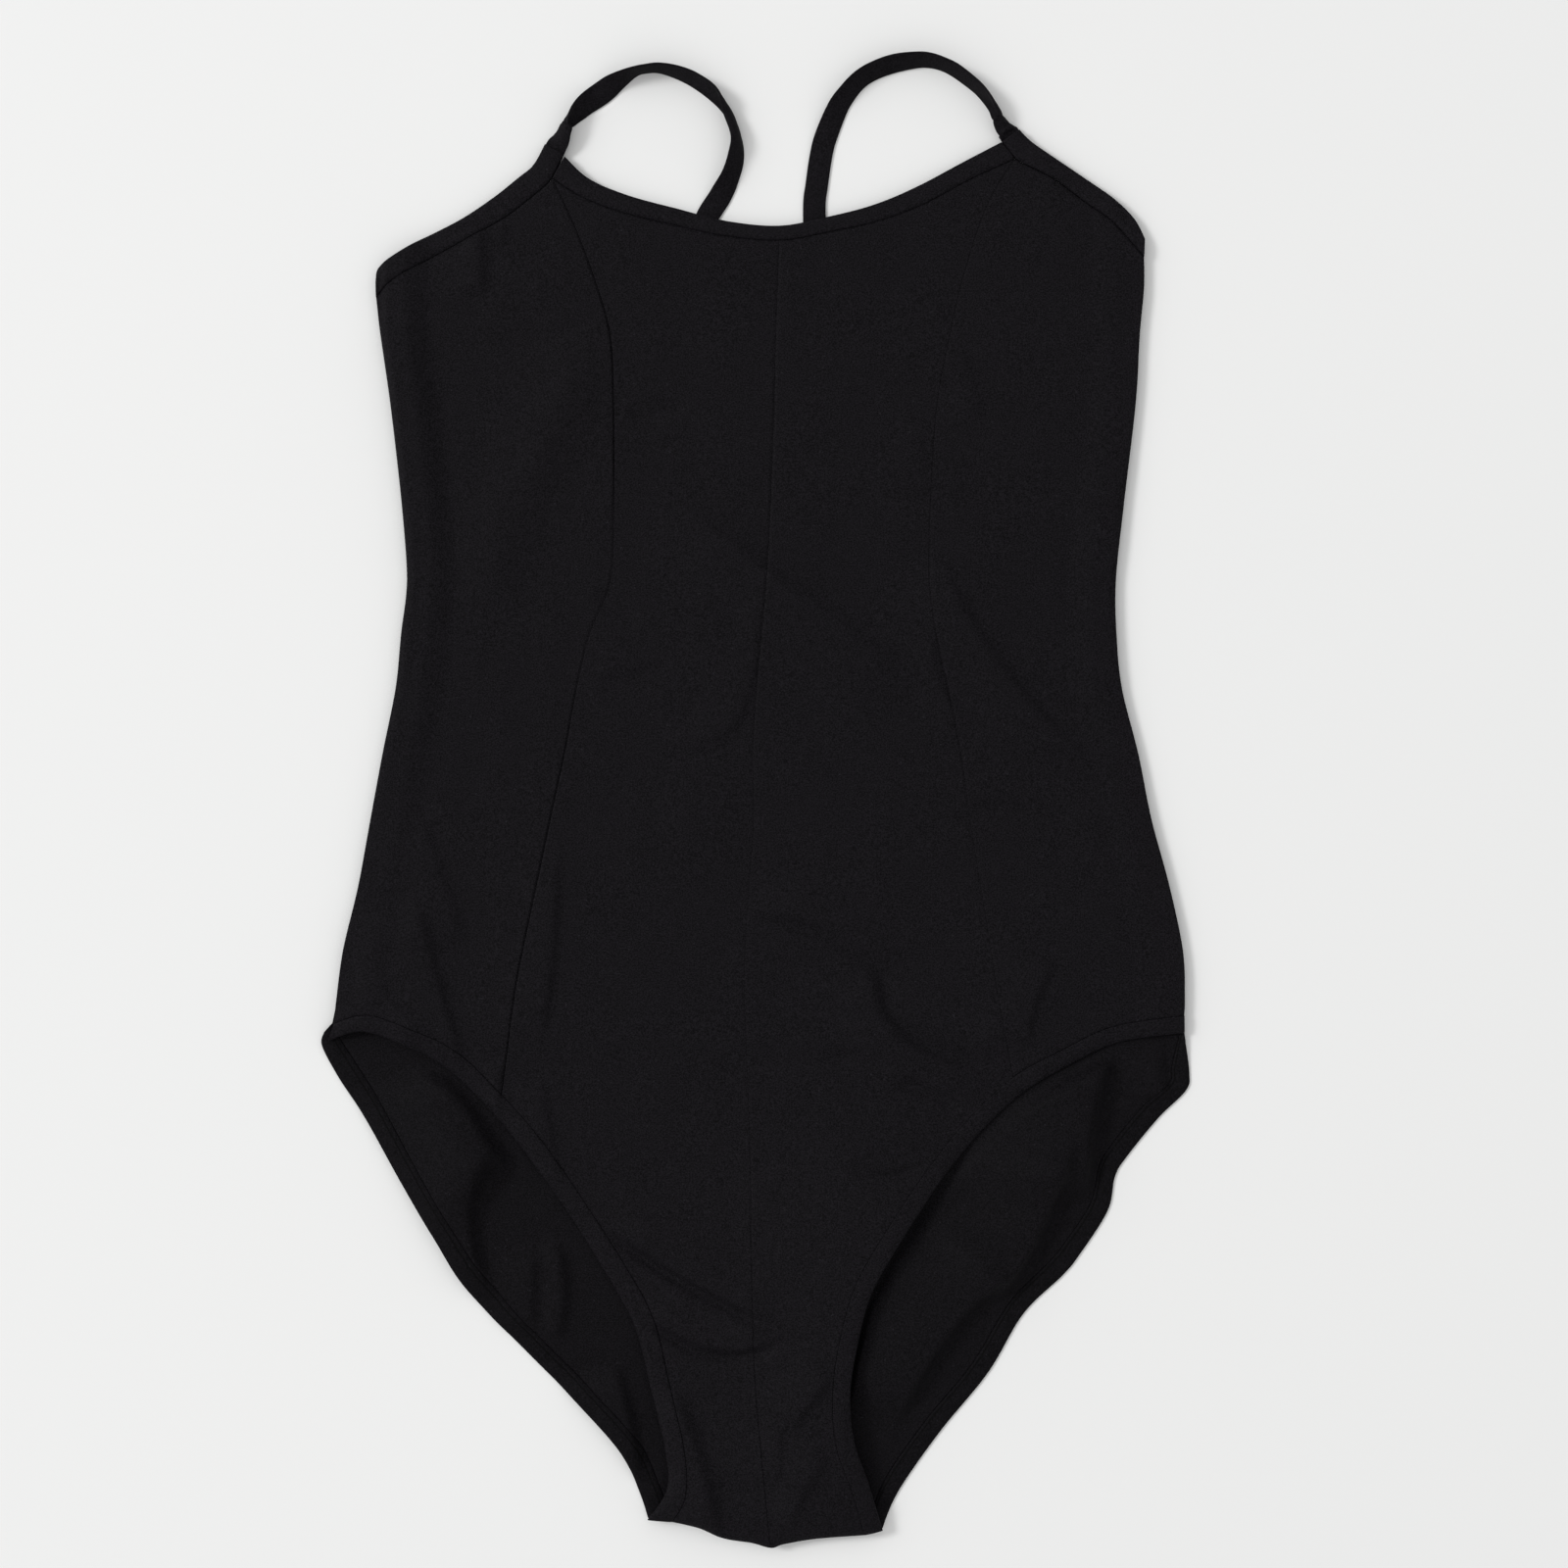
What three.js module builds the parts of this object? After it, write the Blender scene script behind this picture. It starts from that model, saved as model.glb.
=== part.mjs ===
// Camisole leotard of black cotton jersey, laid flat on its back with the front up, in millimetres.
// X runs to the right, Y from the crotch fold up to the straps, Z up from the surface it lies on.
// Left and right are those of someone who looks down on the front.
import * as THREE from 'three';

// Thickness of each layer and the height at which the front lies over the back.
const cloth = 1.4;
const backTrim = 1.6;
const frontTrim = 2.0;
const frontFloor = 1.9;
const seamGap = 0.3;

// Shoulder straps, a flat ribbon that stands on its edge where it turns.
const strapWidth = 10.4;
const strapThickness = 1.4;
const strapShares = [-1, -0.5, 0, 0.5, 1];

// The rounded sides, where the front turns down and the back turns up to the side seam.
const sideRadius = 4;
const sideFlat = 10.5;
const sideFade = 14;
const frontEdgeRise = 1.3;
const backEdgeRise = 1.1;
const backEdgeWidth = 6;
const crotchPuff = 2.4;
const legFadeFrom = -126;
const legFadeWidth = 20;
const bodyPuff = 0.8;
const bodyPuffWidth = 30;

// Steps of the grids: across a side panel and half a centre panel, down a seam and along a hem.
const sideSteps = 9;
const apexSteps = 3;
const centreSteps = 9;
const seamSteps = 24;
const hemSteps = 14;
const strapSteps = 46;
const backSteps = 32;
const backSeamSteps = 12;
const backHemSteps = 20;
const creaseSteps = 12;

// Lengthways lines at each height of the body: the side seams, the princess seams and the centre seam.
const bodySections = [
  { y: -92, sideLeft: -192, seamLeft: -110.5, centre: -5.2, seamRight: 111, sideRight: 196.3 },
  { y: -70, sideLeft: -189, seamLeft: -106.5, centre: -5, seamRight: 107.6, sideRight: 195.4 },
  { y: -40, sideLeft: -182, seamLeft: -100.2, centre: -3, seamRight: 102.8, sideRight: 189.1 },
  { y: -10, sideLeft: -176.5, seamLeft: -94, centre: -1, seamRight: 98, sideRight: 181 },
  { y: 20, sideLeft: -171, seamLeft: -87.5, centre: -1.4, seamRight: 94, sideRight: 175 },
  { y: 50, sideLeft: -165, seamLeft: -82, centre: 0.3, seamRight: 88, sideRight: 167.5 },
  { y: 75, sideLeft: -162.5, seamLeft: -76, centre: 2.6, seamRight: 82.5, sideRight: 165 },
  { y: 100, sideLeft: -159.8, seamLeft: -66.5, centre: 4.8, seamRight: 79.5, sideRight: 164.8 },
  { y: 135, sideLeft: -162.3, seamLeft: -65, centre: 6.7, seamRight: 80, sideRight: 168.5 },
  { y: 180, sideLeft: -167.4, seamLeft: -65, centre: 8.3, seamRight: 83, sideRight: 173.8 },
  { y: 212, sideLeft: -172, seamLeft: -66.7, centre: 9.1, seamRight: 89, sideRight: 175.7 },
];
const centreTip = { x: 6.8, y: -343 };
const centreLower = [{ x: -0.2, y: -268 }, { x: -1.7, y: -215 }, { x: -2.6, y: -165 }, { x: -3.8, y: -128 }];
const princessUpperLeft = [{ x: -74, y: 238 }, { x: -84, y: 264 }];
const princessUpperRight = [{ x: 95.5, y: 240 }, { x: 106, y: 271 }];

// Stations along each edge: the free edge and the seam line of its binding or hem.
const neckRows = [
  { edgeX: -87.6, edgeY: 293.3, seamX: -93.2, seamY: 283.4 },
  { edgeX: -76.4, edgeY: 283.1, seamX: -80, seamY: 275 },
  { edgeX: -59, edgeY: 275.6, seamX: -62, seamY: 268 },
  { edgeX: -36, edgeY: 269.4, seamX: -38, seamY: 262.2 },
  { edgeX: -13, edgeY: 263.7, seamX: -14, seamY: 257 },
  { edgeX: 10.5, edgeY: 261.6, seamX: 10.6, seamY: 255 },
  { edgeX: 31, edgeY: 265.3, seamX: 32, seamY: 258.5 },
  { edgeX: 53, edgeY: 270.9, seamX: 55.5, seamY: 263.7 },
  { edgeX: 73.5, edgeY: 279.4, seamX: 76.5, seamY: 271.4 },
  { edgeX: 94, edgeY: 290.3, seamX: 97.5, seamY: 282.6 },
  { edgeX: 112.3, edgeY: 299.85, seamX: 118.6, seamY: 292.2 },
];
const neckCentreRow = 5;
const underarmLeftRows = [
  { edgeX: -174, edgeY: 237, seamX: -173.9, seamY: 228.8 },
  { edgeX: -171.6, edgeY: 243.4, seamX: -166.3, seamY: 236.5 },
  { edgeX: -156.4, edgeY: 253.4, seamX: -152.8, seamY: 244.6 },
  { edgeX: -136.2, edgeY: 263.9, seamX: -132, seamY: 255.8 },
  { edgeX: -120.6, edgeY: 274.2, seamX: -116, seamY: 264.9 },
  { edgeX: -109, edgeY: 283.4, seamX: -103, seamY: 274.7 },
  { edgeX: -102, edgeY: 289.3, seamX: -93.8, seamY: 283.2 },
  { edgeX: -96.6, edgeY: 298.9, seamX: -88, seamY: 294.2 },
];
const underarmLeftPanelRow = 6;
const underarmRightRows = [
  { edgeX: 120.6, edgeY: 305.5, seamX: 112.5, seamY: 300.15 },
  { edgeX: 126.4, edgeY: 299.8, seamX: 119, seamY: 292.3 },
  { edgeX: 139.3, edgeY: 290.8, seamX: 135.7, seamY: 283.6 },
  { edgeX: 155, edgeY: 280.2, seamX: 151, seamY: 272.4 },
  { edgeX: 165, edgeY: 272.8, seamX: 161.4, seamY: 265 },
  { edgeX: 173.3, edgeY: 264.4, seamX: 168.6, seamY: 257.8 },
  { edgeX: 177.9, edgeY: 255.6, seamX: 177.6, seamY: 247.4 },
];
const underarmRightPanelRow = 1;
const backNeckRows = [
  { edgeX: -173.6, edgeY: 237, seamX: -173.9, seamY: 229 },
  { edgeX: -120, edgeY: 226, seamX: -119, seamY: 219.5 },
  { edgeX: -60, edgeY: 220, seamX: -60, seamY: 213.5 },
  { edgeX: 2, edgeY: 218, seamX: 2, seamY: 211.5 },
  { edgeX: 62, edgeY: 220, seamX: 62, seamY: 213.5 },
  { edgeX: 122, edgeY: 228, seamX: 121, seamY: 221.5 },
  { edgeX: 178, edgeY: 241, seamX: 177, seamY: 233 },
];
const frontHemLeftRows = [
  { edgeX: -196, edgeY: -111.8, seamX: -193, seamY: -103.4 },
  { edgeX: -179.8, edgeY: -107, seamX: -177, seamY: -99.6 },
  { edgeX: -158.2, edgeY: -114.5, seamX: -154, seamY: -107.6 },
  { edgeX: -142, edgeY: -124, seamX: -136.6, seamY: -117 },
  { edgeX: -122.6, edgeY: -142.4, seamX: -116.4, seamY: -136.4 },
  { edgeX: -105.5, edgeY: -163, seamX: -98.3, seamY: -156.8 },
  { edgeX: -84.4, edgeY: -192.8, seamX: -76.7, seamY: -188.3 },
  { edgeX: -68.2, edgeY: -218.9, seamX: -60, seamY: -214.4 },
  { edgeX: -55.6, edgeY: -242.3, seamX: -47, seamY: -238.7 },
  { edgeX: -48.4, edgeY: -269.8, seamX: -39.8, seamY: -267.5 },
  { edgeX: -41.6, edgeY: -297.7, seamX: -33, seamY: -296.3 },
  { edgeX: -40.7, edgeY: -316, seamX: -32, seamY: -318 },
  { edgeX: -49.6, edgeY: -330.4, seamX: -38.5, seamY: -331 },
];
const frontHemRightRows = [
  { edgeX: 196.2, edgeY: -108, seamX: 196, seamY: -100 },
  { edgeX: 181.6, edgeY: -109.6, seamX: 180, seamY: -102 },
  { edgeX: 163, edgeY: -113.2, seamX: 160.4, seamY: -106 },
  { edgeX: 143.3, edgeY: -123, seamX: 139.3, seamY: -116.3 },
  { edgeX: 122.6, edgeY: -135.2, seamX: 117.7, seamY: -128.4 },
  { edgeX: 103.3, edgeY: -153.2, seamX: 97.4, seamY: -147.4 },
  { edgeX: 83.5, edgeY: -176.6, seamX: 77.2, seamY: -171.7 },
  { edgeX: 66, edgeY: -202.7, seamX: 58.7, seamY: -198.7 },
  { edgeX: 52.4, edgeY: -227, seamX: 44.8, seamY: -224 },
  { edgeX: 45.7, edgeY: -252.7, seamX: 37.6, seamY: -251 },
  { edgeX: 43, edgeY: -272.9, seamX: 35, seamY: -273.4 },
  { edgeX: 44.8, edgeY: -293.2, seamX: 36.7, seamY: -295.4 },
  { edgeX: 51.5, edgeY: -313.4, seamX: 44, seamY: -316.6 },
  { edgeX: 58, edgeY: -335.2, seamX: 49.7, seamY: -337 },
];
const frontHemPrincessRow = 4;
const backHemLeftRows = [
  { edgeX: -198.2, edgeY: -107.9, seamX: -194.2, seamY: -103.4 },
  { edgeX: -199, edgeY: -114.2, seamX: -190.8, seamY: -110.4 },
  { edgeX: -191.3, edgeY: -129, seamX: -182.4, seamY: -123.5 },
  { edgeX: -179.3, edgeY: -147, seamX: -171, seamY: -141.6 },
  { edgeX: -164, edgeY: -174, seamX: -155.5, seamY: -169.4 },
  { edgeX: -147.8, edgeY: -201, seamX: -139.7, seamY: -196 },
  { edgeX: -130.6, edgeY: -228, seamX: -122.6, seamY: -221.4 },
  { edgeX: -104.6, edgeY: -255, seamX: -98.6, seamY: -248.2 },
  { edgeX: -81.7, edgeY: -278, seamX: -75.4, seamY: -271.2 },
  { edgeX: -62, edgeY: -300, seamX: -54.7, seamY: -293.8 },
  { edgeX: -53.8, edgeY: -318, seamX: -45, seamY: -313.6 },
  { edgeX: -49.6, edgeY: -330.4, seamX: -38.5, seamY: -331 },
];
const backHemRightRows = [
  { edgeX: 196.9, edgeY: -112, seamX: 195.4, seamY: -103 },
  { edgeX: 198.8, edgeY: -126.5, seamX: 190.6, seamY: -123.4 },
  { edgeX: 197.2, edgeY: -134.6, seamX: 189.6, seamY: -130.6 },
  { edgeX: 184.7, edgeY: -147, seamX: 177.5, seamY: -141.6 },
  { edgeX: 170, edgeY: -165, seamX: 162.7, seamY: -159.6 },
  { edgeX: 164.7, edgeY: -174, seamX: 157, seamY: -169.4 },
  { edgeX: 161.3, edgeY: -189.7, seamX: 153.2, seamY: -186.4 },
  { edgeX: 148.3, edgeY: -210, seamX: 141.4, seamY: -204.4 },
  { edgeX: 140.6, edgeY: -219.4, seamX: 134, seamY: -213.4 },
  { edgeX: 122.6, edgeY: -237, seamX: 116.8, seamY: -231 },
  { edgeX: 106.4, edgeY: -264, seamX: 98.8, seamY: -260.2 },
  { edgeX: 84.4, edgeY: -291, seamX: 77.6, seamY: -286 },
  { edgeX: 65.5, edgeY: -318, seamX: 58.4, seamY: -314 },
  { edgeX: 58, edgeY: -335.2, seamX: 49.7, seamY: -337 },
];
const crotchRows = [
  { x: -38.5, y: -331 },
  { x: -26, y: -333.5 },
  { x: -14.6, y: -338.6 },
  { x: -2, y: -340.6 },
  { x: 6.8, y: -343 },
  { x: 12.8, y: -341.2 },
  { x: 27.7, y: -338.6 },
  { x: 49.7, y: -337 },
];
const crotchTipRow = 4;

// Straps from the front corner round to the back neckline. Lean turns the ribbon about its own run:
// 0 lies with its right side up, -90 stands on edge and -180 lies with its wrong side up. Cup is the
// angle, in degrees, through which the ribbon's face is bent on each side of its middle.
const strapLeftRows = [
  { x: -92.2, y: 296.75, lean: 0, cup: 0, width: 9.6, raise: 1.9 },
  { x: -91.48, y: 298.07, lean: -6, cup: 0, width: 9.7, raise: 1.9 },
  { x: -90.4, y: 300.8, lean: -32, cup: 0, width: 10, raise: 1.5 },
  { x: -88.75, y: 304.3, lean: -53, cup: -20, width: 10.2, raise: 0.8 },
  { x: -87.25, y: 307.25, lean: -71, cup: -75, width: 10.4, raise: 0.2 },
  { x: -85.7, y: 309.42, lean: -92, cup: -95, width: 10.4, raise: 0 },
  { x: -83.45, y: 311.98, lean: -116, cup: -40, width: 10.4, raise: 0 },
  { x: -80.75, y: 314.72, lean: -125, cup: -15, width: 10.4, raise: 0 },
  { x: -77, y: 318.14, lean: -147, cup: 0, width: 10.4, raise: 0 },
  { x: -70.99, y: 322.83, lean: -166, cup: 0, width: 10.4, raise: 0 },
  { x: -63.05, y: 327.76, lean: -127, cup: 0, width: 10.4, raise: 0 },
  { x: -55.79, y: 331.68, lean: -101, cup: 0, width: 10.4, raise: 0 },
  { x: -51.16, y: 333, lean: -96, cup: 0, width: 10.4, raise: 0 },
  { x: -44.18, y: 333.46, lean: -100, cup: 0, width: 10.4, raise: 0 },
  { x: -35.6, y: 331.4, lean: -110, cup: 0, width: 10.4, raise: 0 },
  { x: -27.44, y: 327.85, lean: -117, cup: -8, width: 10.4, raise: 0 },
  { x: -18.78, y: 321.53, lean: -116, cup: -25, width: 10.4, raise: 0 },
  { x: -12.88, y: 312.66, lean: -82, cup: -95, width: 10.4, raise: 0 },
  { x: -8.68, y: 301.89, lean: -64, cup: -35, width: 10.4, raise: 0 },
  { x: -9.25, y: 292.83, lean: -47, cup: 0, width: 10.4, raise: 0 },
  { x: -12.06, y: 283.72, lean: -39, cup: 0, width: 10.4, raise: 0 },
  { x: -16.67, y: 275.27, lean: -14, cup: 0, width: 10.4, raise: 0 },
  { x: -23.2, y: 264.6, lean: 0, cup: 0, width: 10.4, raise: 0 },
  { x: -29, y: 246, lean: 0, cup: 0, width: 10.4, raise: 0 },
  { x: -31.3, y: 219.2, lean: 0, cup: 0, width: 10.4, raise: 0 },
];
const strapRightRows = [
  { x: 116.45, y: 303, lean: 0, cup: 0, width: 9.6, raise: 1.9 },
  { x: 115.62, y: 304.25, lean: -6, cup: 0, width: 9.7, raise: 1.9 },
  { x: 114.6, y: 306.2, lean: -34, cup: 0, width: 10, raise: 1.4 },
  { x: 112.8, y: 308.5, lean: -52, cup: 18, width: 10.2, raise: 0.7 },
  { x: 111.4, y: 310.8, lean: -72, cup: 75, width: 10.4, raise: 0.2 },
  { x: 110.4, y: 312.3, lean: -92, cup: 90, width: 10.4, raise: 0 },
  { x: 108.64, y: 314.84, lean: -101, cup: 32, width: 10.4, raise: 0 },
  { x: 105.92, y: 319.15, lean: -103, cup: 0, width: 10.4, raise: 0 },
  { x: 101.02, y: 324.86, lean: -107, cup: 0, width: 10.4, raise: 0 },
  { x: 92, y: 331.94, lean: -110, cup: 0, width: 10.4, raise: 0 },
  { x: 85.95, y: 335.13, lean: -109, cup: 0, width: 10.4, raise: 0 },
  { x: 79.98, y: 336.95, lean: -113, cup: 0, width: 10.4, raise: 0 },
  { x: 74.03, y: 337.32, lean: -118, cup: 0, width: 10.4, raise: 0 },
  { x: 63.07, y: 335.73, lean: -128, cup: 0, width: 10.4, raise: 0 },
  { x: 53.58, y: 332.29, lean: -129, cup: 0, width: 10.4, raise: 0 },
  { x: 46.93, y: 328.01, lean: -132, cup: 0, width: 10.4, raise: 0 },
  { x: 41.5, y: 321.95, lean: -139, cup: 0, width: 10.4, raise: 0 },
  { x: 37.14, y: 315.32, lean: -152, cup: 0, width: 10.4, raise: 0 },
  { x: 31.96, y: 302.87, lean: -172, cup: 0, width: 10.4, raise: 0 },
  { x: 29.8, y: 294.4, lean: -176, cup: 0, width: 10.4, raise: 0 },
  { x: 27.9, y: 281.5, lean: -178, cup: 0, width: 10.4, raise: 0 },
  { x: 26.7, y: 270, lean: -180, cup: 0, width: 10.4, raise: 0 },
  { x: 27.6, y: 244, lean: -180, cup: 0, width: 10.4, raise: 0 },
  { x: 29.9, y: 219.3, lean: -180, cup: 0, width: 10.4, raise: 0 },
];

// How high the rounded sides stand at each height of the body.
const sideRollRows = [
  { y: -120, left: 1.4, right: 1.2 },
  { y: -40, left: 1.6, right: 1.2 },
  { y: 20, left: 2.2, right: 1.3 },
  { y: 70, left: 3, right: 1.8 },
  { y: 120, left: 4.2, right: 2 },
  { y: 200, left: 4.8, right: 1.2 },
  { y: 236, left: 2.8, right: 1.2 },
];

// Largest creases of the front: from, a point at mid-length, to, height, and the half-width on the
// left and on the right of that run. A height below zero is a trough.
const frontCreases = [
  { fromX: -126, fromY: 228, midX: -127, midY: 246, toX: -126, toY: 264, height: 1.7, left: 10, right: 9 },
  { fromX: -128, fromY: 76, midX: -103, midY: 150, toX: -65, toY: 218, height: 1.8, left: 16, right: 11 },
  { fromX: -134, fromY: -70, midX: -145, midY: -38, toX: -156, toY: -4, height: 1.3, left: 26, right: 9 },
  { fromX: -134, fromY: -129, midX: -146, midY: -85, toX: -158, toY: -41, height: 2.1, left: 28, right: 9 },
  { fromX: -102, fromY: -118, midX: -94, midY: -73, toX: -92, toY: -21, height: 1.7, left: 18, right: 9 },
  { fromX: -89, fromY: -181, midX: -96, midY: -151, toX: -100, toY: -127, height: 1.2, left: 12, right: 9 },
  { fromX: 76, fromY: 51, midX: 20, midY: 91, toX: -45, toY: 140, height: 2.1, left: 18, right: 9 },
  { fromX: 159, fromY: 8, midX: 110, midY: 60, toX: 80, toY: 116, height: 2.1, left: 18, right: 9 },
  { fromX: 63, fromY: -82, midX: 35, midY: -58, toX: -7, toY: -50, height: 1.3, left: 10, right: 14 },
  { fromX: 58, fromY: -73, midX: 63, midY: -112, toX: 122, toY: -134, height: 1.5, left: 10, right: 16 },
  { fromX: 123, fromY: -116, midX: 127, midY: -94, toX: 138, toY: -70, height: 1.7, left: 18, right: 9 },
  { fromX: 13, fromY: -241, midX: -31, midY: -218, toX: -72, toY: -192, height: 1.1, left: 10, right: 14 },
  { fromX: 16, fromY: -242, midX: -21, midY: -250, toX: -55, toY: -228, height: 1.1, left: 10, right: 10 },
  { fromX: -19, fromY: -345, midX: -27, midY: -304, toX: -43, toY: -266, height: 2.4, left: 14, right: 9 },
  { fromX: 15, fromY: -289, midX: 24, midY: -274, toX: 36, toY: -259, height: 1.9, left: 14, right: 9 },
  { fromX: 12, fromY: -337, midX: 22, midY: -314, toX: 34, toY: -298, height: 1.8, left: 10, right: 9 },
  { fromX: 45, fromY: -354, midX: 45, midY: -250, toX: 103, toY: -151, height: 8, left: 60, right: 22 },
  { fromX: -149, fromY: -120, midX: -174, midY: -106, toX: -196, toY: -106, height: 1.8, left: 12, right: 12 },
];

// Folds of the back that show through the leg openings, in the same columns.
const backFolds = [
  { fromX: -111, fromY: -172, midX: -128, midY: -151, toX: -145, toY: -115, height: 5.3, left: 34, right: 11 },
  { fromX: -120, fromY: -232, midX: -132, midY: -190, toX: -116, toY: -154, height: 4.8, left: 28, right: 11 },
  { fromX: -103, fromY: -247, midX: -104, midY: -227, toX: -102, toY: -205, height: 2.4, left: 14, right: 11 },
  { fromX: -94, fromY: -253, midX: -89, midY: -227, toX: -94, toY: -200, height: 2.7, left: 14, right: 11 },
  { fromX: -55, fromY: -316, midX: -59, midY: -286, toX: -67, toY: -257, height: 3.4, left: 26, right: 11 },
  { fromX: 150, fromY: -188, midX: 153, midY: -147, toX: 164, toY: -100, height: 6.8, left: 36, right: 11 },
  { fromX: 101, fromY: -235, midX: 128, midY: -200, toX: 143, toY: -150, height: 6.5, left: 30, right: 11 },
  { fromX: 61, fromY: -292, midX: 85, midY: -247, toX: 120, toY: -213, height: 6, left: 30, right: 11 },
];
const frontEdgeClear = 6;
const frontEdgeFade = 12;

const jersey = { color: 0x18171a, roughness: 0.92, metalness: 0 };
const binding = { color: 0x1a191c, roughness: 0.88, metalness: 0 };

const leotard = new THREE.Group();

// A smooth step from 0 at 0 to 1 at 1.
function smooth(value) {
  const t = THREE.MathUtils.clamp(value, 0, 1);
  return t * t * (3 - 2 * t);
}

// A column of a table at a given value of its key column, along straight lines between rows.
function columnAt(rows, key, column, value) {
  const ascending = rows[rows.length - 1][key] > rows[0][key];
  const sorted = ascending ? rows : [...rows].reverse();
  if (value <= sorted[0][key]) {
    return sorted[0][column];
  }
  for (let row = 1; row < sorted.length; row += 1) {
    const low = sorted[row - 1];
    const high = sorted[row];
    if (value <= high[key]) {
      const share = (value - low[key]) / (high[key] - low[key]);
      return THREE.MathUtils.lerp(low[column], high[column], share);
    }
  }
  return sorted[sorted.length - 1][column];
}

// Points on a smooth curve through a table's columns, from one row to another in equal steps.
function curvePoints(rows, xColumn, yColumn, fromRow, toRow, steps) {
  const curve = new THREE.SplineCurve(rows.map((row) => new THREE.Vector2(row[xColumn], row[yColumn])));
  const last = rows.length - 1;
  const points = [];
  for (let step = 0; step <= steps; step += 1) {
    const row = fromRow + ((toRow - fromRow) * step) / steps;
    points.push(curve.getPoint(row / last));
  }
  return points;
}

// Evenly spaced points on a smooth curve through a list of corners and stations.
function linePoints(stations, steps) {
  const curve = new THREE.SplineCurve(stations.map((point) => new THREE.Vector2(point.x, point.y)));
  curve.arcLengthDivisions = 400;
  return curve.getSpacedPoints(steps);
}

// A lengthways line of the body: its lowest point, the body sections and its upper stations.
function bodyLine(column, lowest, upper) {
  const rows = bodySections.map((row) => ({ x: row[column], y: row.y }));
  return [lowest, ...rows.filter((row) => row.y > lowest.y + 6), ...upper];
}

function rowPoint(row) {
  return { x: row.seamX, y: row.seamY };
}

// The grid between four border lines: opposite borders are blended and the corners' share taken off.
function patch(left, right, bottom, top) {
  const rows = left.length - 1;
  const columns = bottom.length - 1;
  const grid = [];
  for (let row = 0; row <= rows; row += 1) {
    const v = row / rows;
    const line = [];
    for (let column = 0; column <= columns; column += 1) {
      const u = column / columns;
      const across = left[row].clone().lerp(right[row], u);
      const along = bottom[column].clone().lerp(top[column], v);
      const low = bottom[0].clone().lerp(bottom[columns], u);
      const high = top[0].clone().lerp(top[columns], u);
      line.push(across.add(along).sub(low.lerp(high, v)));
    }
    grid.push(line);
  }
  return grid;
}

// The grid of a strip between its free edge and its seam line, at chosen shares of its width.
function stripGrid(edge, seam, shares) {
  return shares.map((share) => edge.map((point, index) => point.clone().lerp(seam[index], share)));
}

function turnedRightWay(grid) {
  const along = grid[0][1].clone().sub(grid[0][0]);
  const across = grid[1][0].clone().sub(grid[0][0]);
  return along.cross(across) > 0 ? grid : grid.map((row) => [...row].reverse());
}

// Draws the border of a grid in by half a seam gap on each side.
function drawnIn(grid) {
  const rows = grid.length;
  const columns = grid[0].length;
  const result = grid.map((row) => row.map((point) => point.clone()));
  const shift = (row, column, before, after, turn) => {
    const run = after.clone().sub(before).normalize();
    result[row][column].x += (-run.y * turn * seamGap) / 2;
    result[row][column].y += (run.x * turn * seamGap) / 2;
  };
  for (let column = 0; column < columns; column += 1) {
    const before = Math.max(column - 1, 0);
    const after = Math.min(column + 1, columns - 1);
    shift(0, column, grid[0][before], grid[0][after], 1);
    shift(rows - 1, column, grid[rows - 1][before], grid[rows - 1][after], -1);
  }
  for (let row = 0; row < rows; row += 1) {
    const before = Math.max(row - 1, 0);
    const after = Math.min(row + 1, rows - 1);
    shift(row, 0, grid[before][0], grid[after][0], -1);
    shift(row, columns - 1, grid[before][columns - 1], grid[after][columns - 1], 1);
  }
  return result;
}

function addMesh(name, positions, faces, finish) {
  const geometry = new THREE.BufferGeometry();
  geometry.setAttribute('position', new THREE.Float32BufferAttribute(positions, 3));
  geometry.setIndex(faces);
  geometry.computeVertexNormals();
  const mesh = new THREE.Mesh(geometry, new THREE.MeshStandardMaterial(finish));
  mesh.name = name;
  leotard.add(mesh);
}

// A closed wall over a grid, from its underside to its upper side. The grid's rows run from low Y.
function addWall(name, flatGrid, underside, upperSide, finish) {
  const grid = drawnIn(turnedRightWay(flatGrid));
  const rows = grid.length;
  const columns = grid[0].length;
  const positions = [];
  for (const height of [underside, upperSide]) {
    grid.forEach((row, index) => {
      row.forEach((point) => positions.push(point.x, point.y, height(point.x, point.y, index / (rows - 1))));
    });
  }
  const at = (layer, row, column) => (layer * rows + row) * columns + column;
  const faces = [];
  const quad = (a, b, c, d) => faces.push(a, b, c, a, c, d);
  for (let row = 0; row < rows - 1; row += 1) {
    for (let column = 0; column < columns - 1; column += 1) {
      quad(at(1, row, column), at(1, row, column + 1), at(1, row + 1, column + 1), at(1, row + 1, column));
      quad(at(0, row, column), at(0, row + 1, column), at(0, row + 1, column + 1), at(0, row, column + 1));
    }
    quad(at(0, row + 1, 0), at(0, row, 0), at(1, row, 0), at(1, row + 1, 0));
    const end = columns - 1;
    quad(at(0, row, end), at(0, row + 1, end), at(1, row + 1, end), at(1, row, end));
  }
  for (let column = 0; column < columns - 1; column += 1) {
    quad(at(0, 0, column), at(0, 0, column + 1), at(1, 0, column + 1), at(1, 0, column));
    const end = rows - 1;
    quad(at(0, end, column + 1), at(0, end, column), at(1, end, column), at(1, end, column + 1));
  }
  addMesh(name, positions, faces, finish);
}

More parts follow.
